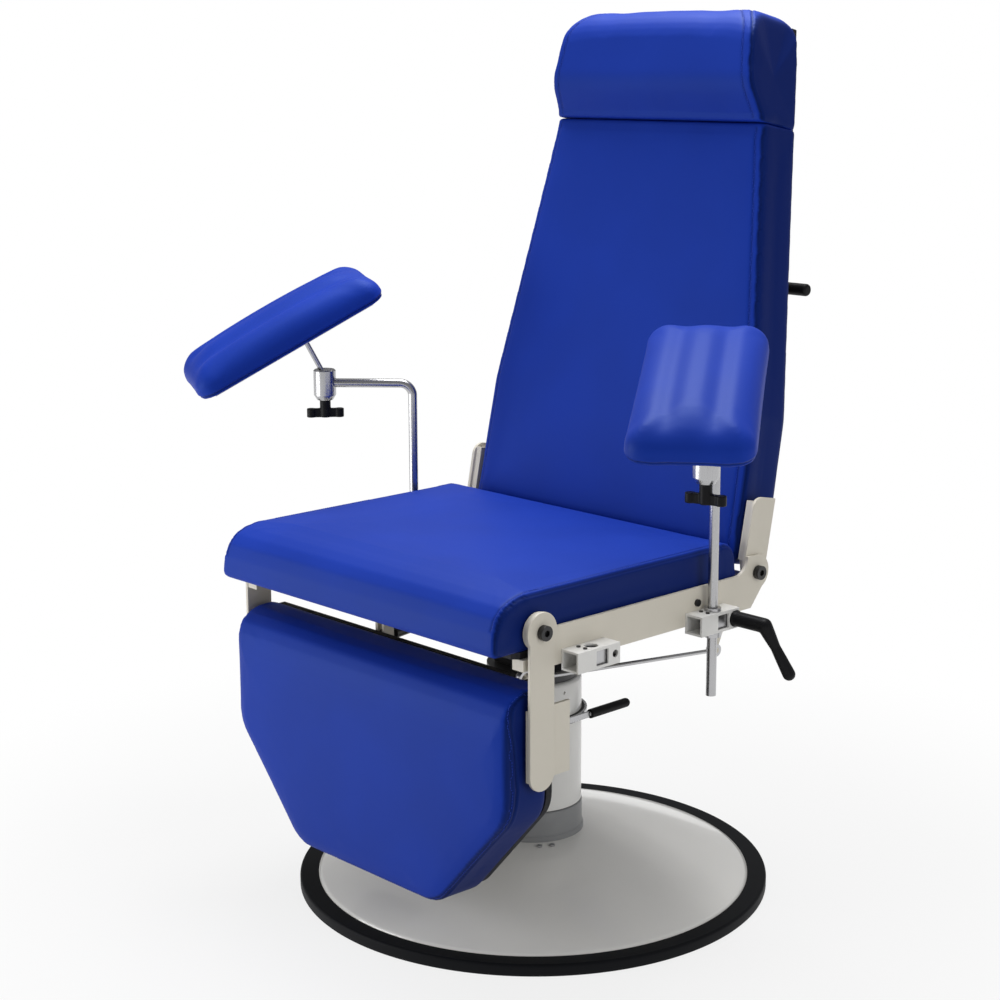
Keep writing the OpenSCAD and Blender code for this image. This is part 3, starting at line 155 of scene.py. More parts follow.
# Scales are per metre and depths in metres, in every finish
vinyl = {
    "colour": (0.0085, 0.035, 0.335, 1.0),
    "sidePanels": 0.36,  # painted shade: the tone of the cover where it faces sideways, against the front's
    # the painted shade in the seam grooves: its tone and how much of it shows
    "seam": {"tone": 0.2, "cover": 0.75},
    "gloss": 0.22,
    "sheen": (0.3, 0.58, 1.0, 1.0),
    "roughness": {"smooth": 0.49, "cloud": 0.06, "pore": 0.04},
    "cloud": {"scale": 6.0, "range": (0.35, 0.7), "tones": (0.95, 1.05)},
    "pore": {"scale": 620.0, "smoothness": 0.6, "share": 0.7, "strength": 0.3, "depth": 0.00016},
    "fine": {"scale": 1054.0, "share": 0.3},
    "pull": {"scale": 60.0, "stretch": (1.0, 1.0, 0.35), "bend": 0.4, "strength": 0.4,
             "depth": 0.0008},
    "crease": {"scale": 7.0, "strength": 0.3, "depth": 0.0014},
}


def vinylFinish(name):
    finish = Finish(name, {"Specular IOR Level": vinyl["gloss"], "Specular Tint": vinyl["sheen"]})
    rough, clouds, pores, pull, crease = (
        vinyl[key] for key in ("roughness", "cloud", "pore", "pull", "crease"))
    cloud = finish.noise(clouds["scale"], 2.0)
    pore = finish.node("TexVoronoi", {"feature": "SMOOTH_F1"}, {
        "Vector": finish.place, "Scale": pores["scale"], "Smoothness": pores["smoothness"]})
    fine = finish.noise(vinyl["fine"]["scale"], 2.0)
    seam, panel = finish.attribute("seam"), finish.attribute("panel")
    low, high = (shade(vinyl["colour"], tone) for tone in clouds["tones"])
    colour = finish.mix(cloud.band(*clouds["range"]), low, high)
    # Painted shade: the cover is darker where it faces sideways, and under the leg rest
    colour = finish.mix(panel, colour, shade(vinyl["colour"], vinyl["sidePanels"]))
    # Painted shade darkens the seam grooves and the dimples where the stitches pull
    colour = finish.mix(
        seam * vinyl["seam"]["cover"], colour, shade(vinyl["colour"], vinyl["seam"]["tone"]))
    lines = finish.noise(pull["scale"], 3.0, stretch=pull["stretch"], distortion=pull["bend"])
    normal = finish.bump(lines * seam, pull["strength"], pull["depth"])
    normal = finish.bump(
        finish.noise(crease["scale"], 2.0), crease["strength"], crease["depth"], normal)
    grain = pore * pores["share"] + fine * vinyl["fine"]["share"]
    normal = finish.bump(grain, pores["strength"], pores["depth"], normal)
    roughness = rough["smooth"] + cloud * rough["cloud"] + pore * rough["pore"]
    return finish.feed(colour, roughness, normal)


stitching = {"gloss": 0.3, "twist": 1400.0, "tones": (1.1, 1.7), "roughness": (0.5, 0.1),
             "strength": 0.3, "depth": 0.0001}


def threadFinish(name):
    finish = Finish(name, {"Specular IOR Level": stitching["gloss"]})
    twist = finish.noise(stitching["twist"], 1.0)
    low, high = (shade(vinyl["colour"], tone) for tone in stitching["tones"])
    smooth, added = stitching["roughness"]
    normal = finish.bump(twist, stitching["strength"], stitching["depth"])
    return finish.feed(finish.mix(twist, low, high), smooth + twist * added, normal)


paint = {"cloud": 14.0, "range": (0.45, 0.8), "dirtTone": 0.8, "uneven": 0.1, "peel": 520.0,
         "strength": 0.25, "coatRoughness": 0.08}


def paintFinish(name, colour, roughness, peel=0.00006, coat=0.0, dirt=0.2):
    finish = Finish(name, {"Coat Weight": coat, "Coat Roughness": paint["coatRoughness"]})
    cloud = finish.noise(paint["cloud"], 4.0)
    dirty = cloud.band(*paint["range"]) * dirt
    return finish.feed(
        finish.mix(dirty, colour, shade(colour, paint["dirtTone"])),
        roughness + (cloud - 0.5) * paint["uneven"],
        finish.bump(finish.noise(paint["peel"], 2.0), paint["strength"], peel))


metal = {"lines": 260.0, "cloud": 11.0, "range": (0.3, 0.8), "dull": 0.35, "dullTone": 0.82,
         "uneven": 0.05, "strength": 0.12, "depth": 0.00008}


def metalFinish(name, colour, roughness, stretch, streak=0.16):
    finish = Finish(name, {"Metallic": 1.0})
    lines = finish.noise(metal["lines"], 3.0, 0.6, stretch)
    cloud = finish.noise(metal["cloud"], 3.0)
    dull = cloud.band(*metal["range"]) * metal["dull"]
    return finish.feed(
        finish.mix(dull, colour, shade(colour, metal["dullTone"])),
        roughness + (lines - 0.5) * streak + (cloud - 0.5) * metal["uneven"],
        finish.bump(lines, metal["strength"], metal["depth"]))


plastic = {"gloss": 0.12, "cloud": 18.0, "range": (0.35, 0.75), "worn": 0.5, "wornTone": 1.35,
           "uneven": 0.12, "strength": 0.35}


def plasticFinish(name, colour, roughness, grain=900.0, depth=0.00012):
    finish = Finish(name, {"Specular IOR Level": plastic["gloss"]})
    cloud = finish.noise(plastic["cloud"], 3.0)
    worn = cloud.band(*plastic["range"]) * plastic["worn"]
    return finish.feed(
        finish.mix(worn, colour, shade(colour, plastic["wornTone"])),
        roughness + (cloud - 0.5) * plastic["uneven"],
        finish.bump(finish.noise(grain, 2.0), plastic["strength"], depth))


# The boards' wood is stained near black, and its grain runs along x
plywood = {
    "gloss": 0.3, "dark": (0.010, 0.010, 0.013, 1.0), "light": (0.022, 0.021, 0.024, 1.0),
    "grain": {"scale": 18.0, "stretch": (1.0, 9.0, 9.0), "bend": 0.6, "range": (0.3, 0.7)},
    "fibre": {"scale": 240.0, "stretch": (0.12, 1.0, 1.0)},
    "roughness": (0.62, 0.15), "shares": (0.6, 0.4), "strength": 0.3, "depth": 0.0003}


def plywoodFinish(name):
    finish = Finish(name, {"Specular IOR Level": plywood["gloss"]})
    grains, fibres = plywood["grain"], plywood["fibre"]
    grain = finish.noise(grains["scale"], 5.0, 0.65, grains["stretch"], grains["bend"])
    fibre = finish.noise(fibres["scale"], 2.0, 0.5, fibres["stretch"])
    smooth, added = plywood["roughness"]
    grainShare, fibreShare = plywood["shares"]
    height = grain * grainShare + fibre * fibreShare
    return finish.feed(
        finish.mix(grain.band(*grains["range"]), plywood["dark"], plywood["light"]),
        smooth + fibre * added,
        finish.bump(height, plywood["strength"], plywood["depth"]))


finishes = {
    "vinyl": vinylFinish("vinyl"),
    "cream_paint": paintFinish("creamPaint", (0.68, 0.64, 0.55, 1.0), 0.42),
    "cream_gloss": paintFinish("creamGloss", (0.84, 0.83, 0.80, 1.0), 0.25, 0.00003, 0.5, 0.1),
    "white_paint": paintFinish("whitePaint", (0.76, 0.755, 0.73, 1.0), 0.3, 0.00004, 0.3, 0.12),
    "chrome": metalFinish("chrome", (0.46, 0.46, 0.47, 1.0), 0.27, (1.0, 1.0, 0.06), 0.06),
    "steel": metalFinish("steel", (0.50, 0.50, 0.51, 1.0), 0.3, (1.0, 1.0, 0.05)),
    "black_plastic": plasticFinish("blackPlastic", (0.008, 0.008, 0.009, 1.0), 0.42),
    "black_rubber": plasticFinish("blackRubber", (0.005, 0.0055, 0.007, 1.0), 0.6, 500.0, 0.0002),
    "black_steel": paintFinish("blackSteel", (0.008, 0.008, 0.009, 1.0), 0.34),
    "dark_steel": paintFinish("darkSteel", (0.035, 0.035, 0.038, 1.0), 0.45),
    "grey_plastic": plasticFinish("greyPlastic", (0.26, 0.265, 0.27, 1.0), 0.35),
    "white_plastic": plasticFinish("whitePlastic", (0.62, 0.62, 0.60, 1.0), 0.4),
    "plywood": plywoodFinish("plywood"),
}
thread = threadFinish("thread")
record = frame["record"]
slotOf = {part["node"]: part["material_slot"] for part in record["subparts"]}
bodyOf = {
    node: body for body, members in record["behaviour"]["bodies"].items() for node in members}
for nodeName, cadPiece in nodes.items():
    cadPiece.data.materials.clear()
    cadPiece.data.materials.append(finishes[slotOf[nodeName]])
print("finishes made:", len(finishes))


# Mesh tools
def bakedMesh(piece):
    graph = bpy.context.evaluated_depsgraph_get()
    return bpy.data.meshes.new_from_object(piece.evaluated_get(graph), depsgraph=graph)


def opened(mesh):
    work = bmesh.new()
    work.from_mesh(mesh)
    return work


def closed(work, mesh):
    work.to_mesh(mesh)
    work.free()
    return mesh


def smoothed(work, repeats):
    for repeat in range(repeats):
        bmesh.ops.smooth_vert(
            work, verts=work.verts, factor=0.5, use_axis_x=True, use_axis_y=True, use_axis_z=True)


def remeshed(mesh, voxel):
    rough = newPiece("rough", mesh)
    remesh = rough.modifiers.new("voxels", "REMESH")
    remesh.mode, remesh.voxel_size = "VOXEL", voxel * mm
    fine = bakedMesh(rough)
    bpy.data.objects.remove(rough)
    return fine


def evenNormals(piece, weight):
    normals = piece.modifiers.new("normals", "WEIGHTED_NORMAL")
    normals.mode, normals.weight, normals.keep_sharp = "FACE_AREA", weight, False
    finished = bakedMesh(piece)
    piece.modifiers.clear()
    piece.data = finished


def shareOf(value, low, high):  # 0 at low, 1 at high
    return min(1.0, max(0.0, (value - low) / (high - low)))


def settle(piece, slotName, body, replaced=None, material=None):
    for polygon in piece.data.polygons:
        polygon.use_smooth = True
    piece.data.materials.clear()
    piece.data.materials.append(material or finishes[slotName])
    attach(piece, body)
    if replaced:
        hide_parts(replaced)
    return piece


def standIn(nodeName, ending, mesh):  # takes the CAD node's slot, body and place
    first, *rest = nodeName.split("_")
    name = first + "".join(word.capitalize() for word in rest) + ending
    return settle(newPiece(name, mesh), slotOf[nodeName], bodyOf[nodeName], nodeName)


# Hard pieces with broken edges: copies of the CAD pieces whose sharp edges are bevelled
softEdges = {
    "seat_plate_left": 0.8, "seat_plate_right": 0.8, "back_plate_left": 0.8,
    "back_plate_right": 0.8, "legrest_plate_left": 0.8, "legrest_plate_right": 0.8,
    "front_brackets": 0.9, "rear_brackets": 0.9, "lever_band": 0.5, "pivot_bolts": 0.6,
    "arm_bush_left": 0.5, "arm_bush_right": 0.5, "ball_clamp_left": 0.8, "ball_clamp_right": 0.8,
}
edgeWork = {"merge": 0.00001, "flat": 0.5, "sharp": 35.0, "segments": 2, "weight": 90}

for nodeName, width in softEdges.items():
    mesh = nodes[nodeName].data.copy()
    work = opened(mesh)
    bmesh.ops.remove_doubles(work, verts=work.verts, dist=edgeWork["merge"])
    bmesh.ops.dissolve_limit(
        work, angle_limit=math.radians(edgeWork["flat"]), verts=work.verts, edges=work.edges,
        use_dissolve_boundaries=False)
    limit = math.radians(edgeWork["sharp"])
    sharp = [e for e in work.edges if e.is_manifold and e.calc_face_angle(0) > limit]
    bmesh.ops.bevel(
        work, geom=sharp, offset=width * mm, offset_type="OFFSET", affect="EDGES",
        segments=edgeWork["segments"], profile=0.5, material=-1, clamp_overlap=True)
    evenNormals(standIn(nodeName, "Soft", closed(work, mesh)), edgeWork["weight"])
print("edges softened:", len(softEdges))

# Moulded black plastic: copies of the CAD pieces, remeshed fine and smoothed
moulded = {  # voxel in mm, rounds of smoothing
    "clamp_lever_left": (1.0, 5), "clamp_lever_right": (1.0, 5),
    "wing_knob_left": (0.8, 6), "wing_knob_right": (0.8, 6), "lever_grip": (0.8, 3),
}
# The clamp levers: the hub is longer and the handle shorter than in the CAD piece
leverFit = {
    "elbow": (357.5, 70.5, 453.0), "handle": (0.34, 0.3, -0.89), "hub": (331.0, 345.0),
    "longer": 19.5, "shorter": 8.0, "shortened": (15.0, 60.0)}


def refitLever(work, side):
    handle = Vector(leverFit["handle"]).normalized()
    for vertex in work.verts:
        place = vertex.co / mm
        place.x *= side
        along = (place - Vector(leverFit["elbow"])).dot(handle)
        place -= handle * leverFit["shorter"] * shareOf(along, *leverFit["shortened"])
        place.x += leverFit["longer"] * shareOf(place.x, *leverFit["hub"])
        place.x *= side
        vertex.co = place * mm


for nodeName, (voxel, repeats) in moulded.items():
    mesh = remeshed(nodes[nodeName].data.copy(), voxel)
    work = opened(mesh)
    smoothed(work, repeats)
    if nodeName.startswith("clamp_lever"):
        refitLever(work, -1 if nodeName.endswith("right") else 1)
    standIn(nodeName, "Moulded", closed(work, mesh))
print("plastic moulded:", len(moulded))

# The base, spun finely. The profiles follow the CAD's.
dish = {
    "flatRadius": 77.0, "radius": 322.0, "low": 17.5, "high": 80.0, "wall": 3.0, "power": 1.6,
    "bore": 66.3, "clear": 0.3, "steps": 40}
ring = {
    "outer": 350.0, "inner": 322.3, "height": 17.5, "edge": 4.0, "foot": 2.0, "corner": 1.0,
    "lip": 3.0, "lipWidth": 20.0}
spinning = {"segments": 192, "weight": 70}


def spun(name, profile):
    work = bmesh.new()
    corners = [work.verts.new((r * mm, 0, z * mm)) for r, z in profile]
    edges = [work.edges.new((a, b)) for a, b in zip(corners, corners[1:] + corners[:1])]
    bmesh.ops.spin(
        work, geom=corners + edges, cent=(0, 0, 0), axis=(0, 0, 1), angle=2 * math.pi,
        steps=spinning["segments"], use_merge=True)
    bmesh.ops.recalc_face_normals(work, faces=work.faces)
    return newPiece(name, closed(work, bpy.data.meshes.new(name)))


def dishHeight(share):
    return dish["low"] + (dish["high"] - dish["low"]) * (1 - share ** dish["power"])


def dishRow(drop):
    width = dish["radius"] - dish["flatRadius"]
    shares = [k / dish["steps"] for k in range(dish["steps"] + 1)]
    return [(dish["flatRadius"] + width * s - drop * s, dishHeight(s) - drop) for s in shares]


def ringEdge():  # the rounded upper edge, from the outside in
    for angle in (math.radians(15 * k) for k in range(6, -1, -1)):
        yield (ring["outer"] - ring["edge"] * (1 - math.sin(angle)),
               ring["height"] - ring["edge"] * (1 - math.cos(angle)))


rim = ring["lip"] + dish["clear"]
lipEnd = ring["inner"] - ring["lipWidth"]
dishPiece = spun("dish", [
    (dish["bore"], dish["high"]), *dishRow(0.0), (dish["radius"], rim),
    (dish["radius"] - dish["wall"], rim), *dishRow(dish["wall"])[::-1],
    (dish["bore"], dish["high"] - dish["wall"])])
ringPiece = spun("rubberRing", [
    (lipEnd, 0.0), (ring["outer"] - ring["foot"], 0.0), (ring["outer"], ring["foot"]),
    *ringEdge(), (ring["inner"] + ring["corner"], ring["height"]),
    (ring["inner"], ring["height"] - ring["corner"]), (ring["inner"], ring["lip"]),
    (lipEnd, ring["lip"])])
settle(dishPiece, "cream_gloss", "base", "base_dish")
settle(ringPiece, "black_rubber", "base", "base_ring")
for piece in (dishPiece, ringPiece):
    evenNormals(piece, spinning["weight"])
print("base spun")

# Where the tilted pieces stand: the local frame of each, in metres
backFoot = {"place": (0, 153, 498), "lean": -11.5}
backPlace = (
    Matrix.Translation([value * mm for value in backFoot["place"]])
    @ Matrix.Rotation(math.radians(backFoot["lean"]), 4, "X"))
padSets = {  # turned, rolled and tilted about the ball, in degrees, then shifted
    "left": {
        "ball": (390.137, -71.848, 711), "yaw": 36.2, "roll": 0.6, "tilt": 18.5,
        "shift": (15, -6, 79.25)},
    "right": {
        "ball": (-410.598, -53.968, 721), "yaw": -25.2, "roll": -4.2, "tilt": 28,
        "shift": (25.5, -4.5, 79.25)},
}
padPlaces = {}
for side, pad in padSets.items():
    padPlaces[side] = (
        Matrix.Translation(Vector(pad["ball"]) * mm)
        @ Matrix.Rotation(math.radians(pad["yaw"] - 90), 4, "Z")
        @ Matrix.Rotation(math.radians(pad["roll"]), 4, "X")
        @ Matrix.Rotation(math.radians(pad["tilt"]), 4, "Y")
        @ Matrix.Translation([value * mm for value in pad["shift"]]))

# Cushions. The side on the board is glued, and the rest swells by the cap at most, in mm.
cushions = {
    "seatCushion": {
        "node": "seat_cushion", "body": "seat", "place": Matrix(), "voxel": 5.0,
        "cap": 5.0, "boardAxis": 2, "boardSide": -1},
    "backCushion": {
        "node": "back_cushion", "body": "backrest", "place": backPlace, "voxel": 5.0,
        "cap": 5.0, "boardAxis": 1, "boardSide": 1, "pressed": {"end": 1, "reach": 14.0}},
    "headrest": {
        "node": "headrest_cushion", "body": "backrest", "place": backPlace, "voxel": 4.5,
        "cap": 4.0, "boardAxis": 1, "boardSide": 1, "pressed": {"end": -1, "reach": 10.0}},
    "legCushion": {
        "node": "legrest_cushion", "body": "legrest", "place": Matrix(), "voxel": 5.0,
        "cap": 5.0, "boardAxis": 1, "boardSide": 1},
    "armCushionLeft": {
        "node": "arm_pad_left", "body": "pad_left", "place": padPlaces["left"], "voxel": 4.0,
        "cap": 3.0, "boardAxis": 2, "boardSide": -1},
    "armCushionRight": {
        "node": "arm_pad_right", "body": "pad_right", "place": padPlaces["right"], "voxel": 4.0,
        "cap": 3.0, "boardAxis": 2, "boardSide": -1},
}
stuffing = {
    "pressure": 4.0, "quality": 5, "frames": 20, "boardBand": 7.0, "merge": 0.00002,
    "shrink": 1.6, "smoothing": 3, "skinGap": 0.25, "keep": (0.3, 0.75), "evening": 4,
    "squareness": 3.0}


def cutBlank(name, piece):
    work = opened(nodes[piece["node"]].data)
    work.transform(piece["place"].inverted())
    bmesh.ops.remove_doubles(work, verts=work.verts, dist=stuffing["merge"])
    work.normal_update()
    piece["tree"] = BVHTree.FromBMesh(work)
    piece["ends"] = {side: max(side * v.co.z for v in work.verts) for side in (1, -1)}
    for vertex in work.verts:
        vertex.co -= vertex.normal * stuffing["shrink"] * mm
    mesh = remeshed(closed(work, bpy.data.meshes.new(name)), piece["voxel"])
    work = opened(mesh)
    smoothed(work, stuffing["smoothing"])
    return newPiece(name, closed(work, mesh))


def stuff(blanks):
    resting = {}
    for name, blank in blanks.items():
        axis, side = cushions[name]["boardAxis"], cushions[name]["boardSide"]
        resting[name] = [v.co.copy() for v in blank.data.vertices]
        board = max(side * co[axis] for co in resting[name])
        edge = board - stuffing["boardBand"] * mm
        glued = blank.vertex_groups.new(name="glued")
        glued.add(
            [i for i, co in enumerate(resting[name]) if side * co[axis] > edge], 1.0, "REPLACE")
        cloth = blank.modifiers.new("cloth", "CLOTH")
        cloth.settings.use_pressure = True
        cloth.settings.uniform_pressure_force = stuffing["pressure"]
        cloth.settings.vertex_group_mass = "glued"
        cloth.settings.effector_weights.gravity = 0
        cloth.settings.quality = stuffing["quality"]
        cloth.point_cache.frame_end = stuffing["frames"]
    for step in range(1, stuffing["frames"] + 1):
        bpy.context.scene.frame_set(step)
    for name, blank in blanks.items():
        swollen = bakedMesh(blank)
        cap = cushions[name]["cap"] * mm
        blank.modifiers.clear()
        blank.vertex_groups.clear()
        for vertex, moved, still in zip(blank.data.vertices, swollen.vertices, resting[name]):
            step = moved.co - still
            vertex.co = still + step * min(1.0, cap / max(step.length, 1e-9))
        bpy.data.meshes.remove(swollen)
    bpy.context.scene.frame_set(1)


# The stuffed cover drawn to the cushion's outline: a share of its own unevenness is kept
def drawTight(work, piece, keep):
    gap = stuffing["skinGap"] * mm
    for vertex in work.verts:
        near, normal, face, distance = piece["tree"].find_nearest(vertex.co)
        away = vertex.co - near
        if away.dot(normal) > -gap:
            vertex.co = near - normal * gap
        elif distance > gap:
            vertex.co = near + away * ((gap + (distance - gap) * keep) / distance)


# The back cushion and the headrest are pressed square where they meet
def pressEnd(work, piece):
    side, reach = piece["pressed"]["end"], piece["pressed"]["reach"] * mm
    end = piece["ends"][side] - stuffing["skinGap"] * mm
    for vertex in work.verts:
        depth = max(0.0, end - side * vertex.co.z) / reach
        if depth < 1:
            vertex.co.z = side * (end - reach * depth ** stuffing["squareness"])


# The armrest cushions are arched along their length and have two soft channels
armCushion = {
    "halfLength": 162.0, "arch": 8.0, "raised": 4.5, "top": (12.0, 40.0), "channelPlace": 31.0,
    "channelWidth": 12.0, "channelDepth": 3.0, "channelEnd": (112.0, 146.0), "evening": 16}


def shapeArmCushion(work):
    for vertex in work.verts:
        x, y, z = vertex.co / mm
        arch = armCushion["raised"] - armCushion["arch"] * (x / armCushion["halfLength"]) ** 2
        across = (abs(y) - armCushion["channelPlace"]) / armCushion["channelWidth"]
        faded = max(0.0, vertex.normal.z) * (1 - shareOf(abs(x), *armCushion["channelEnd"]))
        channel = armCushion["channelDepth"] * math.exp(-across * across) * faded
        vertex.co.z += shareOf(z, *armCushion["top"]) * (arch - channel) * mm


# The headrest's top stays high until near its ends
headTop = {"raised": 5.0, "place": 150.0, "width": 38.0, "from": 738.0, "to": 778.0}


def raiseHeadTop(work):
    for vertex in work.verts:
        x, y, z = vertex.co / mm
        across = (abs(x) - headTop["place"]) / headTop["width"]
        lift = headTop["raised"] * math.exp(-across * across)
        vertex.co.z += lift * shareOf(z, headTop["from"], headTop["to"]) * mm


# Seam lines, in mm. They run a little outside the cover and are laid on it when it is sewn.
# A profile is a line in the plane of a side panel, from the front up and over.
outline = {"step": 4.0, "arcSteps": 8, "outside": 4.0}


def rounded(corners, radii):
    line = [Vector(corners[0])]
    for before, corner, after, radius in zip(corners, corners[1:], corners[2:], radii):
        corner = Vector(corner)
        a, b = (Vector(before) - corner).normalized(), (Vector(after) - corner).normalized()
        half = a.angle(b) / 2
        if radius <= 0 or half > math.radians(89.5):
            line.append(corner)
            continue
        reach = radius / math.tan(half)
        centre = corner + (a + b).normalized() * radius / math.sin(half)
        start, end = corner + a * reach - centre, corner + b * reach - centre
        for k in range(outline["arcSteps"] + 1):
            line.append(centre + start.lerp(end, k / outline["arcSteps"]).normalized() * radius)
    line.append(Vector(corners[-1]))
    return dense(line, outline["step"])


def dense(line, step):
    points = [line[0]]
    for point in line[1:]:
        while (point - points[-1]).length > step:
            points.append(points[-1] + (point - points[-1]).normalized() * step)
    return points


def sideLines(profile, halfAt, inset=-outline["outside"]):
    pair = []
    for sign in (-1, 1):
        line = []
        for before, point, after in zip(profile, profile[1:], profile[2:]):
            along = (after - before).normalized()
            out = Vector((-along[1], along[0])) * outline["outside"]
            line.append(Vector((sign * (halfAt(point[1]) - inset), *(point + out))) * mm)
        pair.append(line)
    return pair


# Half widths at a height above the back's foot
backWidth = {"foot": 273.0, "bend": 267.0, "top": 189.0, "bendAt": 217.0, "taper": 526.0}
headRound = {"radius": 46.0, "from": 742.0}
seatHalf = 288.5


def backHalf(height):
    foot, bend, top, bendAt = (backWidth[key] for key in ("foot", "bend", "top", "bendAt"))
    if height < bendAt:
        return bend + (foot - bend) * (1 - height / bendAt)
    return bend + (top - bend) * (height - bendAt) / backWidth["taper"]


def headHalf(height):
    radius, over = headRound["radius"], max(0.0, height - headRound["from"])
    return backHalf(height) - (radius - math.sqrt(max(0.0, radius * radius - over * over)))


seatProfile = rounded(
    [(-349.5, 474), (-349.5, 500), (-340, 524), (-328, 537), (-311, 545), (-294, 548.5),
     (-240, 549), (90, 549), (107, 545.5), (116, 537), (121, 524), (122, 500), (122, 474)],
    [40, 40, 30, 30, 30, 40, 0, 40, 30, 30, 30, 0])
backProfile = rounded([(-25.6, 14), (-25.6, 300), (-25.6, 624)], [0])
headProfile = rounded(
    [(-25.6, 626), (-25.6, 629), (-59.6, 673.6), (-59.6, 788), (52.4, 788), (52.4, 720)],
    [2, 60, 46, 24])
legHalf = [  # x, z, the seam's y, and the way out of the cover in x and z
    (0, 94, -325, 0, -1), (90, 94, -325, 0, -1), (132, 96, -324, 0.3, -0.95),
    (156, 108, -322, 0.6, -0.8), (190, 139, -321, 0.75, -0.66), (240, 196, -319, 0.75, -0.66),
    (268, 228, -316, 0.8, -0.6), (283, 250, -313, 0.95, -0.3), (288, 275, -310, 1, 0),
    (288, 293, -308, 1, 0), (288, 330, -309, 1, 0), (288, 355, -312, 1, 0),
    (288, 375, -317, 1, 0), (288, 393, -320, 1, 0.2), (288, 406, -316, 1, 0.8),
    (288, 415, -304, 1, 1), (288, 419.5, -285, 1, 1), (288, 421, -262, 1, 1)]
padHalf = {"length": 166, "width": 84, "round": 32, "height": 4.0}


def legLine(forward):
    far = outline["outside"]
    points = [
        Vector((x + far * outX, y - forward, z + far * outZ)) * mm
        for x, z, y, outX, outZ in legHalf]
    other = [Vector((-p.x, p.y, p.z)) for p in points[:0:-1]]
    return other + points


def padLine():
    length, width = padHalf["length"], padHalf["width"]
    loop = rounded(
        [(0, -width), (length, -width), (length, width), (-length, width), (-length, -width),
         (0, -width)], [padHalf["round"]] * 4)
    return [Vector((x, y, padHalf["height"])) * mm for x, y in loop]


def seatSide(height):
    return seatHalf


padSeam = {"seams": [padLine()], "stitches": []}
seamLines = {
    "seatCushion": {
        "seams": sideLines(seatProfile, seatSide),
        "stitches": sideLines(seatProfile[8:-12], seatSide, 11)},
    "backCushion": {
        "seams": sideLines(backProfile, backHalf),
        "stitches": sideLines(backProfile, backHalf, 14)},
    "headrest": {
        "seams": sideLines(headProfile, headHalf),
        "stitches": sideLines(headProfile[1:-16], headHalf, 17)},
    "legCushion": {"seams": [legLine(0)], "stitches": [legLine(9)]},
    "armCushionLeft": padSeam,
    "armCushionRight": padSeam,
}
sewing = {
    "step": 1.0, "width": 1.7, "depth": 1.5, "roll": 0.35, "rollAt": 2.4, "pull": 0.8,
    "pullWidth": 2.0, "pullShade": 0.6, "refine": 14.0, "stitch": 3.2, "pitch": 4.6,
    "thread": 0.42, "lift": 0.15, "panel": (0.45, 0.75)}


def laidOn(line, tree):
    return [tree.find_nearest(point)[0] for point in dense(line, sewing["step"] * mm)]


def treeOf(points):
    tree = kdtree.KDTree(len(points))
    for index, point in enumerate(points):
        tree.insert(point, index)
    tree.balance()
    return tree


def bell(distance, width):
    return math.exp(-((distance / width) ** 2))


# How far a piece of the cover looks to the side, or down on the leg rest, for its painted shade:
# 0 on the arm cushions, which have one tone
def shadeFacing(normal, piece):
    under = min(0.0, normal.z) if piece["body"] == "legrest" else 0.0
    return 0.0 if piece["body"].startswith("pad") else math.hypot(normal.x, under)


# Seams and stitches sink into the cover, and their places are kept as an attribute, which darkens
# them with painted shade
def sew(work, name, piece):
    surface = BVHTree.FromBMesh(work)
    seams, stitches = (
        [laidOn(line, surface) for line in seamLines[name][key]] for key in ("seams", "stitches"))
    seamTree = treeOf([p for line in seams for p in line])
    stitchTree = treeOf([p for line in stitches for p in line]) if stitches else None
    near = {v: seamTree.find(v.co)[2] / mm for v in work.verts}
    close = [e for e in work.edges if max(near[v] for v in e.verts) < sewing["refine"]]
    bmesh.ops.subdivide_edges(work, edges=close, cuts=1, use_grid_fill=True)
    work.normal_update()
    # This layer marks the seam grooves and stitch pulls for painted shade, and for the pull
    # lines' bump
    mark = work.verts.layers.float.new("seam")
    # This layer marks the painted shade where the cover faces sideways, or down on the leg rest
    panel = work.verts.layers.float.new("panel")
    for vertex in work.verts:
        distance = seamTree.find(vertex.co)[2] / mm
        share = bell(distance, sewing["width"])
        bulge = bell(distance - sewing["rollAt"] * sewing["width"], sewing["width"])
        move = sewing["roll"] * bulge - sewing["depth"] * share
        if stitchTree:
            pulled = bell(stitchTree.find(vertex.co)[2] / mm, sewing["pullWidth"])
            move -= sewing["pull"] * pulled
            share = max(share, sewing["pullShade"] * pulled)
        vertex[mark] = share
        vertex[panel] = shareOf(shadeFacing(vertex.normal, piece), *sewing["panel"])
        vertex.co += vertex.normal * move * mm
    surface = BVHTree.FromBMesh(work)
    return [laidOn(line, surface) for line in seamLines[name]["stitches"]], surface


def threadMesh(name, stitches, surface):
    work = bmesh.new()
    every, length = (int(sewing[key] / sewing["step"]) for key in ("pitch", "stitch"))
    size = Matrix.Diagonal((1, 1, sewing["stitch"] / 2 / sewing["thread"], 1))
    for line in stitches:
        for start in range(0, len(line) - every, every):
            a, b = line[start], line[start + length]
            near, normal = surface.find_nearest((a + b) / 2)[:2]
            turn = (b - a).normalized().to_track_quat("Z", "Y").to_matrix().to_4x4()
            place = Matrix.Translation(near + normal * sewing["lift"] * mm)
            bmesh.ops.create_uvsphere(
                work, u_segments=6, v_segments=5, radius=sewing["thread"] * mm,
                matrix=place @ turn @ size)
    return closed(work, bpy.data.meshes.new(name))


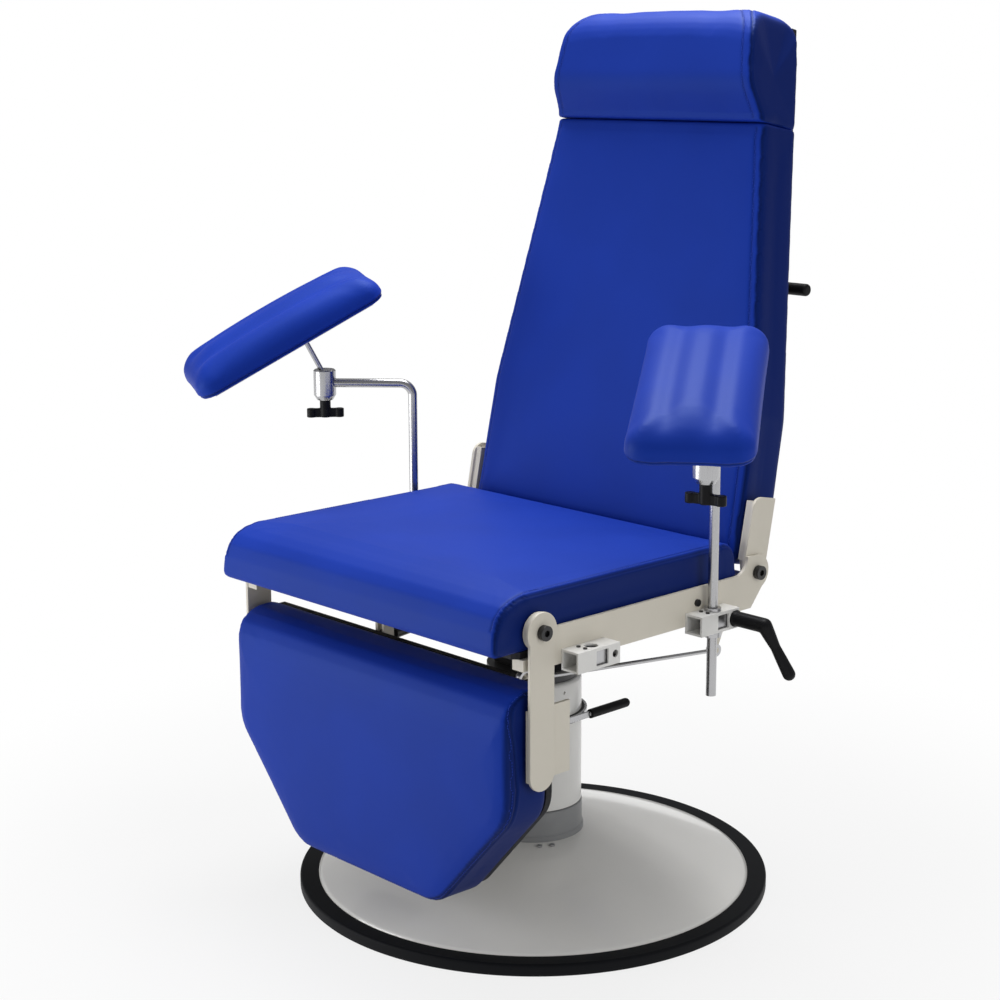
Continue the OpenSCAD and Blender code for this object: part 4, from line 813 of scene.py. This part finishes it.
blanks = {name: cutBlank(name, piece) for name, piece in cushions.items()}
stuff(blanks)
print("cushions stuffed")
for name, blank in blanks.items():
    piece = cushions[name]
    finer = blank.modifiers.new("finer", "SUBSURF")
    finer.levels = finer.render_levels = 1
    finished = bakedMesh(blank)
    work = opened(finished)
    firstKeep, lastKeep = stuffing["keep"]
    drawTight(work, piece, firstKeep)
    if name.startswith("armCushion"):
        smoothed(work, armCushion["evening"])
        work.normal_update()
        shapeArmCushion(work)
    else:
        smoothed(work, stuffing["evening"])
        drawTight(work, piece, lastKeep)
    if name == "headrest":
        raiseHeadTop(work)
    if "pressed" in piece:
        pressEnd(work, piece)
    stitches = threadMesh(name + "Thread", *sew(work, name, piece))
    closed(work, finished)
    finished.transform(piece["place"])
    stitches.transform(piece["place"])
    blank.modifiers.clear()
    blank.data = finished
    settle(blank, "vinyl", piece["body"], piece["node"])
    if stitches.vertices:
        settle(newPiece(name + "Thread", stitches), "vinyl", piece["body"], material=thread)
    print(name, len(finished.polygons), "faces")

# Floor and light
floor = {
    "radius": 9.0, "corners": 96, "colour": (0.6, 0.6, 0.6, 1.0), "roughness": 0.6,
    "fade": (0.55, 1.25), "near": 0.82, "added": 0.18}  # it fades to white further out
white = (1, 1, 1, 1)
work = bmesh.new()
bmesh.ops.create_circle(work, cap_ends=True, segments=floor["corners"], radius=floor["radius"])
floorPiece = newPiece("floor", closed(work, bpy.data.meshes.new("floor")))
ground = Finish("floorFinish", {"Base Color": floor["colour"], "Roughness": floor["roughness"]})
away = ground.node("VectorMath", {"operation": "LENGTH"}, {0: ground.place}, output="Value")
seen = ground.node("LightPath", output="Is Camera Ray")
glossy = ground.node("LightPath", output="Is Glossy Ray")
bright = ground.node("Emission", {}, {"Color": white, "Strength": 1.0})
fade = (floor["near"] + floor["added"] * away.band(*floor["fade"])) * (seen + glossy)
ground.show(ground.node("MixShader", {}, {
    0: fade, 1: Wire(ground, ground.shader.outputs[0]), 2: bright}))
floorPiece.data.materials.append(ground.material)

studio = {"sky": 0.30}
world = bpy.data.worlds.new("studio")
bpy.context.scene.world = world
world.use_nodes = True
sky = Graph(world.node_tree, "World Output")
ambient = sky.node("Background", {}, {"Color": white, "Strength": studio["sky"]})
plain = sky.node("Background", {}, {"Color": white})
straight = sky.node("LightPath", output="Is Camera Ray")
sky.show(sky.node("MixShader", {}, {0: straight, 1: ambient, 2: plain}))

lamps = {
    "key": {"place": (-1.2, -1.9, 0.5), "target": (0, 0, 0.35), "size": 1.2, "watts": 22.0},
    "top": {"place": (-0.4, 0.4, 3.0), "target": (0, 0, 0.5), "size": 1.6, "watts": 84.0},
    "side": {"place": (2.6, -0.2, 1.3), "target": (0, 0, 0.5), "size": 1.4, "watts": 18.0},
}
for name, lamp in lamps.items():
    lampData = bpy.data.lights.new(name, "AREA")
    lampData.size, lampData.energy = lamp["size"], lamp["watts"]
    lampObject = newPiece(name, lampData)
    lampObject.location = lamp["place"]
    lampObject.visible_glossy = name != "side"
    aim = Vector(lamp["target"]) - Vector(lamp["place"])
    lampObject.rotation_euler = aim.to_track_quat("-Z", "Y").to_euler()
bpy.context.scene.view_settings.view_transform = "Standard"
print("floor and light made")
